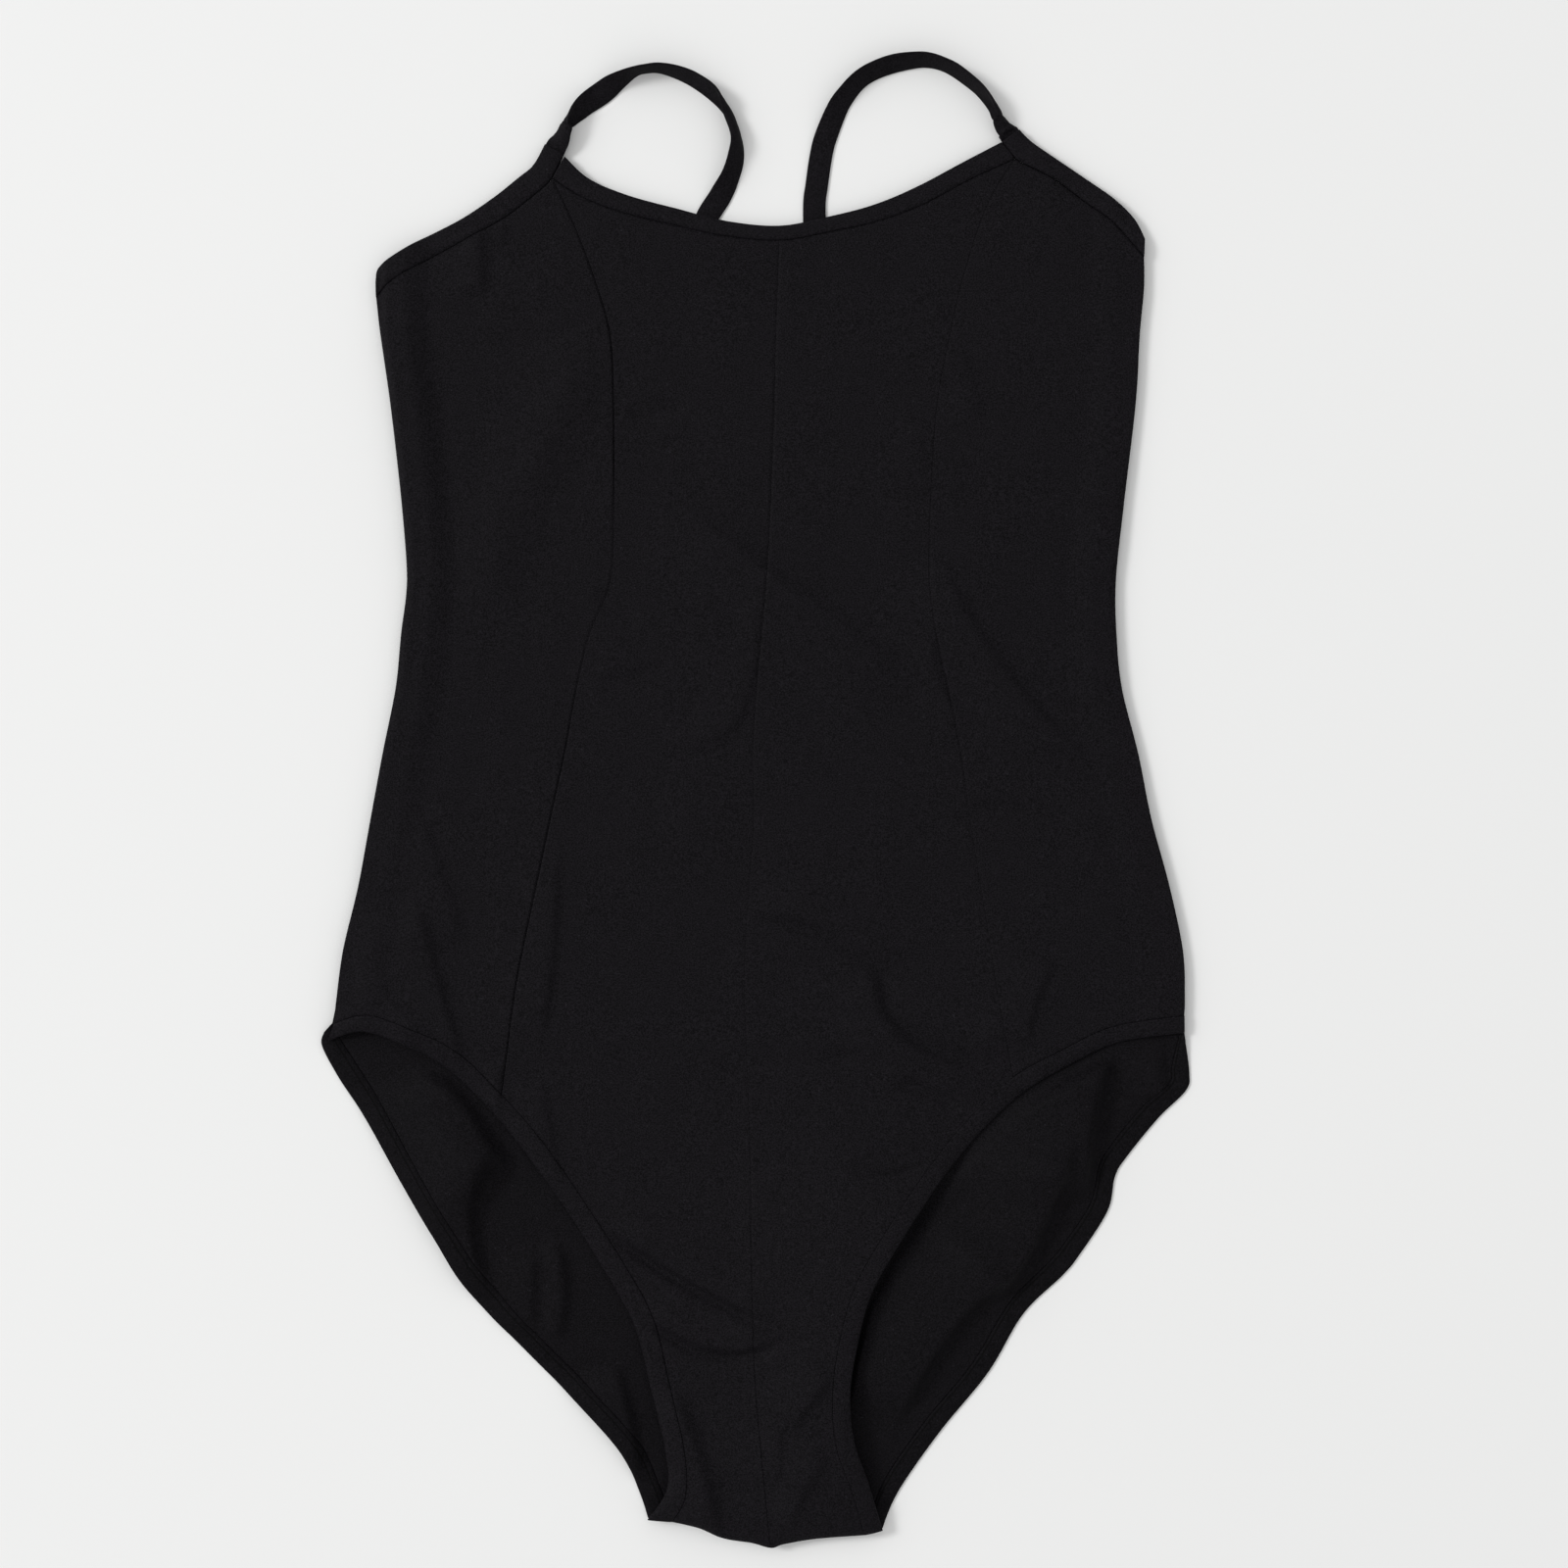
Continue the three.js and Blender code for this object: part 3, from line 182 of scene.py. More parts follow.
frontCreases = table(creaseColumns, [
    # side left
    (-125.8, 227.5, -127.1, 245.5, -125.8, 263.5, 2.1, 10, 3.2),
    (-115.4, 251.8, -116.3, 258.1, -116.8, 264.4, 0.7, 6, 2.4),
    (-127.6, 75.8, -102.8, 150.1, -64.6, 217.6, 2.2, 16, 11),
    (-124.4, 214.9, -100.6, 209.9, -77.2, 217.1, -0.8, 4, 4),
    (-133.9, -70.4, -144.7, -38, -156.4, -3.8, 1.6, 26, 3.4),
    (-133.9, -128.9, -146.5, -85.3, -158.2, -41.2, 2.6, 28, 3.2),
    (-149.2, -108.2, -167.2, -94.7, -174.8, -77.2, 1, 10, 3),
    # beside the left seam
    (-101.5, -117.7, -94.3, -72.7, -92.5, -20.9, 2.1, 18, 2.6),
    (-88.9, -180.7, -96.1, -151.4, -99.7, -126.7, 1.5, 12, 2.8),
    (-118.6, -144.7, -118.6, -132.5, -117.7, -119.9, 1.2, 6, 2.4),
    # waist
    (-59.2, 173.5, -46.6, 175.7, -28.6, 182, -1.2, 5, 3),
    (75.8, 51.1, 19.6, 90.7, -44.8, 140.2, 2.6, 18, 5), (159.1, 8.3, 110, 60.1, 80.3, 116.3, 2.6, 18, 3.4),
    (102.8, 35.3, 84.8, 47.5, 79.4, 82.6, 1.3, 10, 2.4), (103.7, 171.7, 96.5, 189.7, 92, 208.6, 1.1, 10, 3),
    (74.9, 134.3, 73.1, 154.6, 75.8, 172.6, 0.8, 10, 6), (93.8, 134.8, 90.2, 142.9, 87.5, 151, 0.5, 4, 4),
    (-32.2, 26.3, -8.8, 37.6, -1.6, 78.1, 1.3, 14, 2.8), (-72.7, 52.9, -56.5, 55.1, -35.8, 64.1, -1, 3, 8),
    (-74.9, 96.1, -63.7, 86.2, -52.4, 78.1, -0.9, 4, 4), (-1.6, 65.5, -2, 78.1, -1.6, 90.7, 0.8, 6, 4),
    (-32.2, -35.3, -30.8, 6.1, -33.5, 42.1, 0.5, 10, 12),
    # hips
    (-11.9, -56.9, 35.3, -64.6, 65.9, -94.7, -1.8, 2.8, 2.8),
    (63.2, -81.7, 35.3, -57.8, -7.4, -50.2, 1.6, 6, 14),
    (58.7, -71.3, 69.5, -107.3, 124.4, -128.5, -2.4, 5, 2.7),
    (57.8, -72.7, 63.2, -111.8, 121.7, -134.3, 1.9, 5, 16),
    (122.6, -116.3, 126.7, -93.8, 137.9, -69.5, 2.1, 18, 2.8),
    (112.7, -111.8, 110, -104.6, 110, -96.5, 0.7, 8, 2.4),
    (91.6, -7.4, 120.8, -6.1, 153.2, -10.1, -1.3, 4, 4),
    (61.4, -132.5, 78.1, -134.3, 93.8, -145.1, -2.2, 2.8, 3),
    (40.7, -164.9, 57.8, -172.6, 77.6, -168.5, -2, 2.8, 3),
    (29.9, -122.6, 44.3, -118.6, 63.2, -124.9, -1, 3.5, 3.5),
    # crotch
    (-72.7, -195.5, -33.1, -222.5, 13.7, -245, -3.2, 2.7, 2.7),
    (12.8, -241, -31.3, -217.6, -71.8, -191.9, 2.6, 8, 14),
    (-56.9, -232.4, -20.9, -254.9, 15.5, -246.8, -3.4, 2.9, 2.9),
    (15.5, -242.3, -20.9, -249.5, -54.7, -227.9, 2.6, 9, 10),
    (-18.7, -344.9, -26.8, -304.4, -43, -266.2, 3.6, 14, 4.6),
    (14.6, -288.7, 24.5, -273.8, 36.2, -259.4, 2.4, 14, 2.8),
    (11.9, -336.8, 21.8, -314.3, 33.5, -297.7, 2.2, 10, 3),
    (9.7, -313.4, 9.2, -297.7, 11, -281.9, 1.2, 8, 3),
    # right leg edge stands off the back
    (45.2, -353.9, 45.2, -250.4, 102.8, -151.4, 8, 60, 22),
    (-149.2, -119.9, -173.9, -106.4, -196.4, -106.4, 2.2, 12, 12),
])
backFolds = table(creaseColumns, [
    (-111.4, -171.7, -128.5, -151.4, -144.7, -115.4, 6.2, 34, 3.6),
    (-120.4, -232.4, -132.1, -189.7, -115.9, -153.7, 5.6, 28, 3.5),
    (-102.8, -246.8, -103.7, -227, -101.9, -205.4, 2.8, 14, 2.8),
    (-94.3, -252.7, -88.9, -227, -93.8, -200, 3.2, 10, 2.8),
    (-54.7, -315.7, -59.2, -286.4, -67.3, -257.2, 4, 26, 3.6),
    (149.6, -188.3, 153.2, -146.9, 164.5, -100.1, 8, 36, 3.5),
    (187.4, -140.6, 184.7, -125.3, 185.2, -106.4, 2.6, 12, 2.8),
    (101, -235.1, 128, -200, 143.3, -149.6, 7.6, 30, 3.6),
    (61.4, -291.8, 84.8, -246.8, 119.9, -212.6, 7, 30, 3.8),
])


# Height of all creases at the points. A crease runs along a bend through its three points and is a
# bell across it: e to the minus square of distance over half-width, of which it has one on its left
# and one on its right. It fades by an S at both ends.
def creaseHeight(creases, x, y):
    steps, fadeShare = creaseLook["steps"], creaseLook["fade"]
    total = np.zeros_like(x)
    for k in range(len(creases["height"])):
        row = {name: values[k] for name, values in creases.items()}
        t = np.linspace(0, 1, steps + 1)
        bendX = 2 * row["midX"] - (row["fromX"] + row["toX"]) / 2
        bendY = 2 * row["midY"] - (row["fromY"] + row["toY"]) / 2
        pathX = (1 - t) ** 2 * row["fromX"] + 2 * t * (1 - t) * bendX + t ** 2 * row["toX"]
        pathY = (1 - t) ** 2 * row["fromY"] + 2 * t * (1 - t) * bendY + t ** 2 * row["toY"]
        reach = creaseLook["reach"] * max(row["left"], row["right"])
        near = (x > pathX.min() - reach) & (x < pathX.max() + reach)
        near &= (y > pathY.min() - reach) & (y < pathY.max() + reach)
        if not near.any():
            continue
        px, py = x[near][:, None], y[near][:, None]
        runX, runY = np.diff(pathX)[None], np.diff(pathY)[None]
        toX, toY = px - pathX[None, :-1], py - pathY[None, :-1]
        share = np.clip((toX * runX + toY * runY) / (runX ** 2 + runY ** 2), 0, 1)
        distance = np.hypot(toX - runX * share, toY - runY * share)
        nearest = distance.argmin(1)[:, None]
        pick = lambda values: np.take_along_axis(np.broadcast_to(values, distance.shape), nearest, 1)[:, 0]
        along = (nearest[:, 0] + pick(share)) / steps
        side = pick(runX * toY - runY * toX)
        blend = smooth(side / 2 + 0.5)  # the two half-widths meet softly on the crest
        halfWidth = row["left"] * blend + row["right"] * (1 - blend)
        fade = smooth(along / fadeShare) * smooth((1 - along) / fadeShare)
        total[near] += row["height"] * fade * np.exp(-(pick(distance) / halfWidth) ** 2)
    return total


# Soft unevenness of the laid cloth: a sum of sine waves in fixed random directions, their lengths in
# equal ratios, each as high as a power of its length over the longest.
def unevenness(x, y):
    random = np.random.default_rng(uneven["seed"])
    total = np.zeros_like(x)
    for length in np.geomspace(uneven["shortest"], uneven["longest"], uneven["waves"]):
        angle, phase = random.uniform(0, 2 * math.pi, 2)
        wave = 2 * math.pi / length
        along = x * math.cos(angle) + y * math.sin(angle)
        total += (length / uneven["longest"]) ** uneven["growth"] * np.sin(wave * along + phase)
    return uneven["height"] * total / math.sqrt(uneven["waves"])


# Distance in from the nearer side edge at the point's height, none outside.
def sideDistance(x, y):
    left = np.interp(y, bodySections["y"], bodySections["sideLeft"])
    right = np.interp(y, bodySections["y"], bodySections["sideRight"])
    return np.maximum(np.minimum(x - left, right - x), 0)


# Distance up from the crotch fold, none below it.
def crotchDistance(x, y):
    return np.maximum(y - np.interp(x, crotchRows["x"], crotchRows["y"]), 0)


# Share of the body's side folds: an S from none at the legs to all above them.
def bodyShare(y):
    return smooth((y - cloth["legFadeFrom"]) / cloth["legFadeWidth"])


# A rounded edge: up a quarter sine within the radius, level for a bit, then down an S.
def edgeRoll(distance, height):
    inside = cloth["frontEdgeRise"] + (height - cloth["frontEdgeRise"]) * np.sin(
        np.minimum(distance / cloth["sideRadius"], 1) * math.pi / 2)
    outside = height * (1 - smooth((distance - cloth["sideFlat"]) / cloth["sideFade"]))
    return np.where(distance < cloth["sideRadius"], inside, outside)


# Upper side of the front: floor, rounded sides or crotch fold, body puff, creases and unevenness.
def frontTop(x, y):
    rollHeight = np.where(x < 0, np.interp(y, sideRoll["y"], sideRoll["left"]),
                          np.interp(y, sideRoll["y"], sideRoll["right"]))
    roll = edgeRoll(sideDistance(x, y), rollHeight) * bodyShare(y)
    fold = edgeRoll(crotchDistance(x, y), cloth["crotchPuff"])
    puff = cloth["bodyPuff"] * smooth(sideDistance(x, y) / cloth["bodyPuffWidth"]) * bodyShare(y)
    level = cloth["frontFloor"] + cloth["cadWall"] + np.maximum(roll, fold) + puff
    return level + creaseHeight(frontCreases, x, y) + unevenness(x, y)


# Share of a back fold that shows: none under the front, all of it clear of the front's leg edge.
def outsideFront(x, y):
    shares = []
    for rows, sign in ((frontHemLeftRows, -1), (frontHemRightRows, 1)):
        reach = sign * rows["edgeX"]
        falling = np.concatenate([[True], np.diff(np.minimum.accumulate(reach)) < 0])
        edgeY = np.interp(sign * x, reach[falling][::-1], rows["edgeY"][falling][::-1])
        shares.append(smooth((edgeY - y - cloth["frontEdgeClear"]) / cloth["frontEdgeFade"]))
    return np.where(x < 0, shares[0], shares[1])


# Upper side of the back: flat, turned up by a square towards the side seams and the crotch fold, and
# with its folds where they show.
def backTop(x, y):
    sideLift = (1 - np.minimum(sideDistance(x, y) / cloth["backEdgeWidth"], 1)) ** 2 * bodyShare(y)
    foldLift = (1 - np.minimum(crotchDistance(x, y) / cloth["backEdgeWidth"], 1)) ** 2
    lift = cloth["backEdgeRise"] * np.maximum(sideLift, foldLift)
    return cloth["cadWall"] + lift + creaseHeight(backFolds, x, y) * outsideFront(x, y)


# Grids

# Between four border lines: opposite borders are blended and the corners' share is taken off.
def patch(left, right, bottom, top):
    v = np.linspace(0, 1, len(left))[:, None, None]
    u = np.linspace(0, 1, len(bottom))[None, :, None]
    across = left[:, None] * (1 - u) + right[:, None] * u
    along = bottom[None] * (1 - v) + top[None] * v
    low = bottom[0] * (1 - u) + bottom[-1] * u
    high = top[0] * (1 - u) + top[-1] * u
    return across + along - (low * (1 - v) + high * v)


# Adds lines of points at fixed distances from a grid's first and last row.
def withRims(grid, distances):
    def rimRows(border, inner):
        run = inner - border
        length = np.linalg.norm(run, axis=1, keepdims=True)
        return [border + run / length * np.minimum(d, 0.9 * length) for d in distances]
    first = rimRows(grid[0], grid[1])
    last = rimRows(grid[-1], grid[-2])
    return np.concatenate([grid[:1], np.array(first), grid[1:-1], np.array(last)[::-1], grid[-1:]])


# A grid with its rows and columns exchanged.
def turned(grid):
    return np.swapaxes(grid, 0, 1)


# Rows run so that a turn from the first column's way to the first row's way is to the left.
def facesUp(grid):
    along, across = grid[:, -1] - grid[:, 0], grid[-1] - grid[0]
    along, across = along.mean(0), across.mean(0)
    return along[0] * across[1] - along[1] * across[0] > 0


# Quads of a grid of point numbers, facing the viewer when rows run up and columns run right.
def quads(numbers):
    corners = [numbers[:-1, :-1], numbers[:-1, 1:], numbers[1:, 1:], numbers[1:, :-1]]
    return np.stack(corners, -1).reshape(-1, 4)


# A mesh from points in millimetres, with a map in metres along the cloth for the knit.
def makeMesh(name, points, faces, uv, finish, smoothFaces=True):
    mesh = bpy.data.meshes.new(name)
    mesh.from_pydata((points * metres).tolist(), [], faces if isinstance(faces, list) else faces.tolist())
    layer = mesh.uv_layers.new(name="cloth")
    corner = np.zeros(len(mesh.loops), np.int32)
    mesh.loops.foreach_get("vertex_index", corner)
    layer.data.foreach_set("uv", (uv[corner] * metres).astype(np.float32).ravel())
    mesh.polygons.foreach_set("use_smooth", np.full(len(mesh.polygons), smoothFaces))
    mesh.materials.append(finish)
    mesh.update()
    piece = bpy.data.objects.new(name, mesh)
    bpy.context.scene.collection.objects.link(piece)
    return piece


# A closed shell over a grid: upper side, underside turned over, and a rim between their borders.
def shell(name, grid, upper, lower, uv, finish):
    rows, columns = grid.shape[:2]
    count = rows * columns
    top = np.concatenate([grid, upper[..., None]], -1).reshape(-1, 3)
    under = np.concatenate([grid, lower[..., None]], -1).reshape(-1, 3)
    numbers = np.arange(count).reshape(rows, columns)
    ring = np.concatenate([numbers[0, :-1], numbers[:-1, -1], numbers[-1, :0:-1], numbers[:0:-1, 0]])
    after = np.roll(ring, -1)
    rim = np.stack([ring + count, after + count, after, ring], -1)
    faces = np.concatenate([quads(numbers), quads(numbers + count)[:, ::-1], rim])
    points, places = np.concatenate([top, under]), np.concatenate([uv.reshape(-1, 2)] * 2)
    return makeMesh(name, points, faces, places, finish)


# Shader maths: a wire is a socket that can be added, multiplied and so on

class Wire:
    def __init__(self, tree, socket):
        self.tree, self.socket = tree, socket

    def join(self, operation, first, second=None, third=None):
        values = {k: v for k, v in enumerate((first, second, third)) if v is not None}
        return self.tree.node("ShaderNodeMath", {"operation": operation}, values)

    def __add__(self, other): return self.join("ADD", self, other)
    def __radd__(self, other): return self.join("ADD", other, self)
    def __sub__(self, other): return self.join("SUBTRACT", self, other)
    def __rsub__(self, other): return self.join("SUBTRACT", other, self)
    def __mul__(self, other): return self.join("MULTIPLY", self, other)
    def __rmul__(self, other): return self.join("MULTIPLY", other, self)
    def __truediv__(self, other): return self.join("DIVIDE", self, other)
    def __pow__(self, other): return self.join("POWER", self, other)

    def sine(self): return self.join("SINE", self)
    def size(self): return self.join("ABSOLUTE", self)
    def part(self): return self.join("FRACT", self)

    # An S from 0 at low to 1 at high.
    def clear(self, low, high):
        limits = {"Value": self, "From Min": low, "From Max": high}
        return self.tree.node("ShaderNodeMapRange", {"interpolation_type": "SMOOTHSTEP"}, limits)


# A material and short ways to add nodes to it.
class Finish:
    def __init__(self, name):
        self.material = bpy.data.materials.new(name)
        self.material.use_nodes = True
        self.tree = self.material.node_tree
        self.shader = self.tree.nodes["Principled BSDF"]

    def node(self, kind, settings, values, output=0):
        made = self.tree.nodes.new(kind)
        for key, value in settings.items():
            setattr(made, key, value)
        for key, value in values.items():
            self.put(made.inputs[key], value)
        return Wire(self, made.outputs[output])

    def put(self, socket, value):
        if isinstance(value, Wire):
            self.tree.links.new(value.socket, socket)
        else:
            socket.default_value = value

    def noise(self, place, scale, detail=2.0, rough=0.5):
        values = {"Vector": place, "Scale": scale, "Detail": detail, "Roughness": rough}
        return self.node("ShaderNodeTexNoise", {}, values)

    def mixColour(self, share, first, second):
        made = self.tree.nodes.new("ShaderNodeMix")
        made.data_type = "RGBA"
        colours = [s for s in made.inputs if s.type == "RGBA"]
        self.put(made.inputs[0], share)
        for socket, value in zip(colours, (first, second)):
            self.put(socket, value)
        return Wire(self, [s for s in made.outputs if s.type == "RGBA"][0])


jersey = {
    "dark": (0.0003, 0.0002, 0.0004, 1), "light": (0.0112, 0.0100, 0.0123, 1),
    "lint": (0.016, 0.015, 0.018, 1), "sunkStitchShade": (0.0002, 0.0002, 0.0002, 1),
    "wale": 0.62, "course": 0.48, "knitDepth": 0.05, "stitch": 2.5,  # millimetres
    "roughness": 0.68, "specular": 0.05,
    # each cloth's tone against the outside's (the inside's and the back hems' lower tones are painted shade,
    # the bindings' higher one painted light on their rounded crowns), the bindings' finer wale, a hem's row
    # of stitches
    "outsideLight": 1.0, "insideShadeTone": 0.76, "bindingLitTone": 1.04, "backHemShadeTone": 0.66,
    "bindingWale": 0.9, "hemStitchRow": 7.0,
    # noises by scale, detail and roughness, and what each gives to the shade between dark and light; the
    # knit's share is painted shade of the loops' relief
    "heather": (1500, 4, 0.75), "blotch": (260, 3, 0.6), "mottle": (60, 4, 0.6), "fibre": (800, 1, 0.5),
    "heatherShare": 0.72, "blotchShare": 0.08, "mottleShare": 0.04, "knitShadeShare": 0.16, "lintShare": 0.8,
    "slant": 1.4, "loopShare": 0.6, "heatherHeight": 0.8, "stitchDepth": 3, "stitchHeight": 2,
}


# Jersey: columns of V loops raised by a bump and also painted into the colour as shade, lighter on their
# crowns, a heathered colour and a few pale fibres.
# Loop height = sine along the course, pushed on by the distance from the wale's middle, plus a ridge.
# Rows are distances in from a strip's free edge at which a row of stitches sinks into it; the sunken row is
# painted darker as shade, less on the stitches themselves.
def jerseyFinish(name, paintedLightScale, wale, course, purl, rows=()):
    finish = Finish(name)
    uv = finish.node("ShaderNodeUVMap", {"uv_map": "cloth"}, {})
    place = finish.node("ShaderNodeTexCoord", {}, {}, 3)
    split = finish.node("ShaderNodeSeparateXYZ", {}, {"Vector": uv})
    across = split * (1000 / wale)
    along = Wire(finish, split.socket.node.outputs[1]) * (1000 / course)
    stitchPlace = Wire(finish, split.socket.node.outputs[1]) * 1000
    ridge = 1 - ((across.part() - 0.5).size() * 2) ** 2
    slant = (across.part() - 0.5).size() * (0.0 if purl else jersey["slant"])
    loops = ((along + slant) * (2 * math.pi)).sine() * 0.5 + 0.5
    knit = loops * jersey["loopShare"] + ridge * (1 - jersey["loopShare"])
    heather = finish.noise(place, *jersey["heather"])
    blotch = finish.noise(place, *jersey["blotch"])
    mottle = finish.noise(place, *jersey["mottle"])
    fibre = finish.noise(place, *jersey["fibre"])
    shade = heather.clear(0.38, 0.62) * jersey["heatherShare"]
    shade = shade + blotch.clear(0.3, 0.7) * jersey["blotchShare"]
    # The knit term is painted shade of the loops: darker in the hollows between loops and wales, lighter on
    # their crowns.
    shade = shade + mottle.clear(0.3, 0.7) * jersey["mottleShare"] + knit * jersey["knitShadeShare"]
    # Both ends are scaled by the cloth's tone: below 1 it is painted shade, above 1 painted light.
    dark = tuple(v * paintedLightScale for v in jersey["dark"][:3]) + (1,)
    light = tuple(v * paintedLightScale for v in jersey["light"][:3]) + (1,)
    colour = finish.mixColour(shade, dark, light)
    colour = finish.mixColour(fibre.clear(0.70, 0.80) * jersey["lintShare"], colour, jersey["lint"])
    height = knit + heather * jersey["heatherHeight"]
    for row in rows:
        away = (split * 1000 - row).size()
        sunk = 1 - away.clear(0.15, 0.5)
        beat = ((stitchPlace / jersey["stitch"]).part() - 0.5).size()
        stitch = (1 - away.clear(0.08, 0.22)) * (1 - beat.clear(0.34, 0.44))
        # Painted shade: the sunken stitch row is mixed towards near-black, less where a stitch lies over it.
        colour = finish.mixColour(sunk * 0.8 - stitch * 0.35, colour, jersey["sunkStitchShade"])
        height = height - sunk * jersey["stitchDepth"] + stitch * jersey["stitchHeight"]
    bump = finish.node("ShaderNodeBump", {}, {
        "Strength": 0.6, "Distance": jersey["knitDepth"] * metres, "Height": height})
    finish.put(finish.shader.inputs["Base Color"], colour)
    finish.put(finish.shader.inputs["Roughness"], jersey["roughness"])
    finish.put(finish.shader.inputs["Specular IOR Level"], jersey["specular"])
    finish.put(finish.shader.inputs["Normal"], bump)
    return finish.material


# The inside and back-hem finishes are darker copies of the jersey carrying painted shade; the binding finish
# is a lighter copy carrying painted light.
outsideJersey = jerseyFinish("jerseyOutside", jersey["outsideLight"], jersey["wale"], jersey["course"], False)
shadedInsideJersey = jerseyFinish("jerseyInsideShaded", jersey["insideShadeTone"], jersey["course"], jersey["wale"], True)
litBindingJersey = jerseyFinish("jerseyBindingLit", jersey["bindingLitTone"],
                             jersey["wale"] * jersey["bindingWale"], jersey["course"], False)
shadedBackHemJersey = jerseyFinish("jerseyBackHemShaded", jersey["backHemShadeTone"], jersey["wale"], jersey["course"],
                             False, (jersey["hemStitchRow"],))
print("finishes made")


# Panels

# Lines beside a border, how far past the last of them a drop is gone, the gap under a turned-down
# border, and how far over a border's lowest point the body's rows begin to count.
panelLook = {"rims": (0.35, 0.9, 1.8), "dropPast": 0.4, "skirtGap": 0.25, "rowClear": 6}


# Drop of the upper side along its four borders, deepest at the seam and gone past the last rim line:
# the depth times the square of what is left of the way there.
# A drop is a number, or pairs of a height on the body and the drop there.
def borderDrops(grid, drops):
    rims = np.array((0.0,) + panelLook["rims"])
    fall = np.clip(1 - rims / (rims[-1] + panelLook["dropPast"]), 0, 1) ** 2
    total = np.zeros(grid.shape[:2])
    for side, drop in zip(("left", "right", "bottom", "top"), drops):
        view = {"left": grid, "right": grid[:, ::-1], "bottom": turned(grid), "top": turned(grid[::-1])}[side]
        depth = view[:, 0, 1] * 0 + drop if np.isscalar(drop) else np.interp(view[:, 0, 1], *zip(*drop))
        band = depth[:, None] * fall[None]
        span = len(rims)
        target = {"left": total[:, :span], "right": total[:, ::-1][:, :span],
                  "bottom": total.T[:, :span], "top": total[::-1].T[:, :span]}[side]
        np.maximum(target, band, out=target)
    return total


# A panel: a grid between its four borders, its upper side the height less the border drops and its
# underside one cloth's thickness below.
def panel(name, node, left, right, bottom, top, height, drops, finish, restsOn, skirt=None):
    grid = withRims(patch(left, right, bottom, top), panelLook["rims"])
    grid = turned(withRims(turned(grid), panelLook["rims"]))
    x, y = grid[..., 0], grid[..., 1]
    level = height(x, y)
    upper = level - borderDrops(grid, drops)
    lower = level - cloth["thickness"]
    if restsOn:  # the front dips no lower than the back it lies on
        lower = np.maximum(lower, backTop(x, y) + cloth["layerGap"])
        upper = np.maximum(upper, lower + cloth["leastLayer"])
    lower = np.minimum(lower, upper - cloth["leastLayer"])
    if skirt is not None:  # the border that turns down to its neighbour below
        columns = {"left": np.s_[:, 0], "right": np.s_[:, -1]}[skirt]
        lower[columns] = np.minimum(lower[columns], backTop(x[columns], y[columns]) + panelLook["skirtGap"])
    piece = shell(name, grid, upper, lower, grid, finish)
    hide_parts(node)
    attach(piece, "root")
    return piece


# Points of a border: its lowest, the body's rows above that one, then its upper ones.
def bodyLine(column, lowest, upper):
    rows = list(zip(bodySections[column], bodySections["y"]))
    return [lowest] + [row for row in rows if row[1] > lowest[1] + panelLook["rowClear"]] + upper


def seamPoint(rows, k):
    return (rows["seamX"][k], rows["seamY"][k])


# A stretch of a strip's seam, from one row to another.
def seamOf(rows, a, b, count):
    return curvePoints(rows, "seamX", "seamY", a, b, count)


seamSteps, hemSteps, sideSteps, centreSteps = 280, 150, 70, 66
neckLast = len(neckRows["seamX"]) - 1
hemLeftLast = len(frontHemLeftRows["seamX"]) - 1
hemRightLast = len(frontHemRightRows["seamX"]) - 1
backLeftLast, backRightLast = len(backHemLeftRows["seamX"]) - 1, len(backHemRightRows["seamX"]) - 1
neckLeft = seamOf(neckRows, 0, neckCentreRow, centreSteps)
neckRight = seamOf(neckRows, neckCentreRow, neckLast, centreSteps)
armLeft = seamOf(underarmLeftRows, 0, underarmLeftPanelRow, sideSteps)
armRight = seamOf(underarmRightRows, underarmRightPanelRow, len(underarmRightRows["seamX"]) - 1, sideSteps)
hemSideLeft = seamOf(frontHemLeftRows, 0, hemPrincessRow, sideSteps)
hemSideRight = seamOf(frontHemRightRows, hemPrincessRow, 0, sideSteps)
hemInnerLeft = seamOf(frontHemLeftRows, hemLeftLast, hemPrincessRow, hemSteps)
hemInnerRight = seamOf(frontHemRightRows, hemRightLast, hemPrincessRow, hemSteps)
crotchLeft = curvePoints(crotchRows, "x", "y", 0, crotchTipRow, centreSteps)
crotchRight = curvePoints(crotchRows, "x", "y", crotchTipRow, len(crotchRows["x"]) - 1, centreSteps)
princessLeft = linePoints(bodyLine("seamLeft", seamPoint(frontHemLeftRows, hemPrincessRow),
                                   princessUpperLeft + [seamPoint(neckRows, 0)]), seamSteps)
princessRight = linePoints(bodyLine("seamRight", seamPoint(frontHemRightRows, hemPrincessRow),
                                    princessUpperRight + [seamPoint(neckRows, -1)]), seamSteps)
centreSeam = linePoints(centreLower + list(zip(bodySections["centre"], bodySections["y"]))
                        + [seamPoint(neckRows, neckCentreRow)], seamSteps + hemSteps)
sideLeft = linePoints(bodyLine("sideLeft", seamPoint(frontHemLeftRows, 0),
                               [seamPoint(underarmLeftRows, 0)]), seamSteps)
sideRight = linePoints(bodyLine("sideRight", seamPoint(frontHemRightRows, 0),
                                sideUpperRight + [seamPoint(underarmRightRows, -1)]), seamSteps)

backSteps, backSeamSteps, backHemSteps = 180, 90, 150
backHemInnerLeft = seamOf(backHemLeftRows, backLeftLast, 0, backHemSteps)
backHemInnerRight = seamOf(backHemRightRows, backRightLast, 0, backHemSteps)
backNeck = seamOf(backNeckRows, 0, len(backNeckRows["seamX"]) - 1, backSteps)
backSideLeft = linePoints(bodyLine("sideLeft", seamPoint(backHemLeftRows, 0),
                                   [seamPoint(backNeckRows, 0)]), backSeamSteps)
backSideRight = linePoints(bodyLine("sideRight", seamPoint(backHemRightRows, 0),
                                    [seamPoint(backNeckRows, -1)]), backSeamSteps)

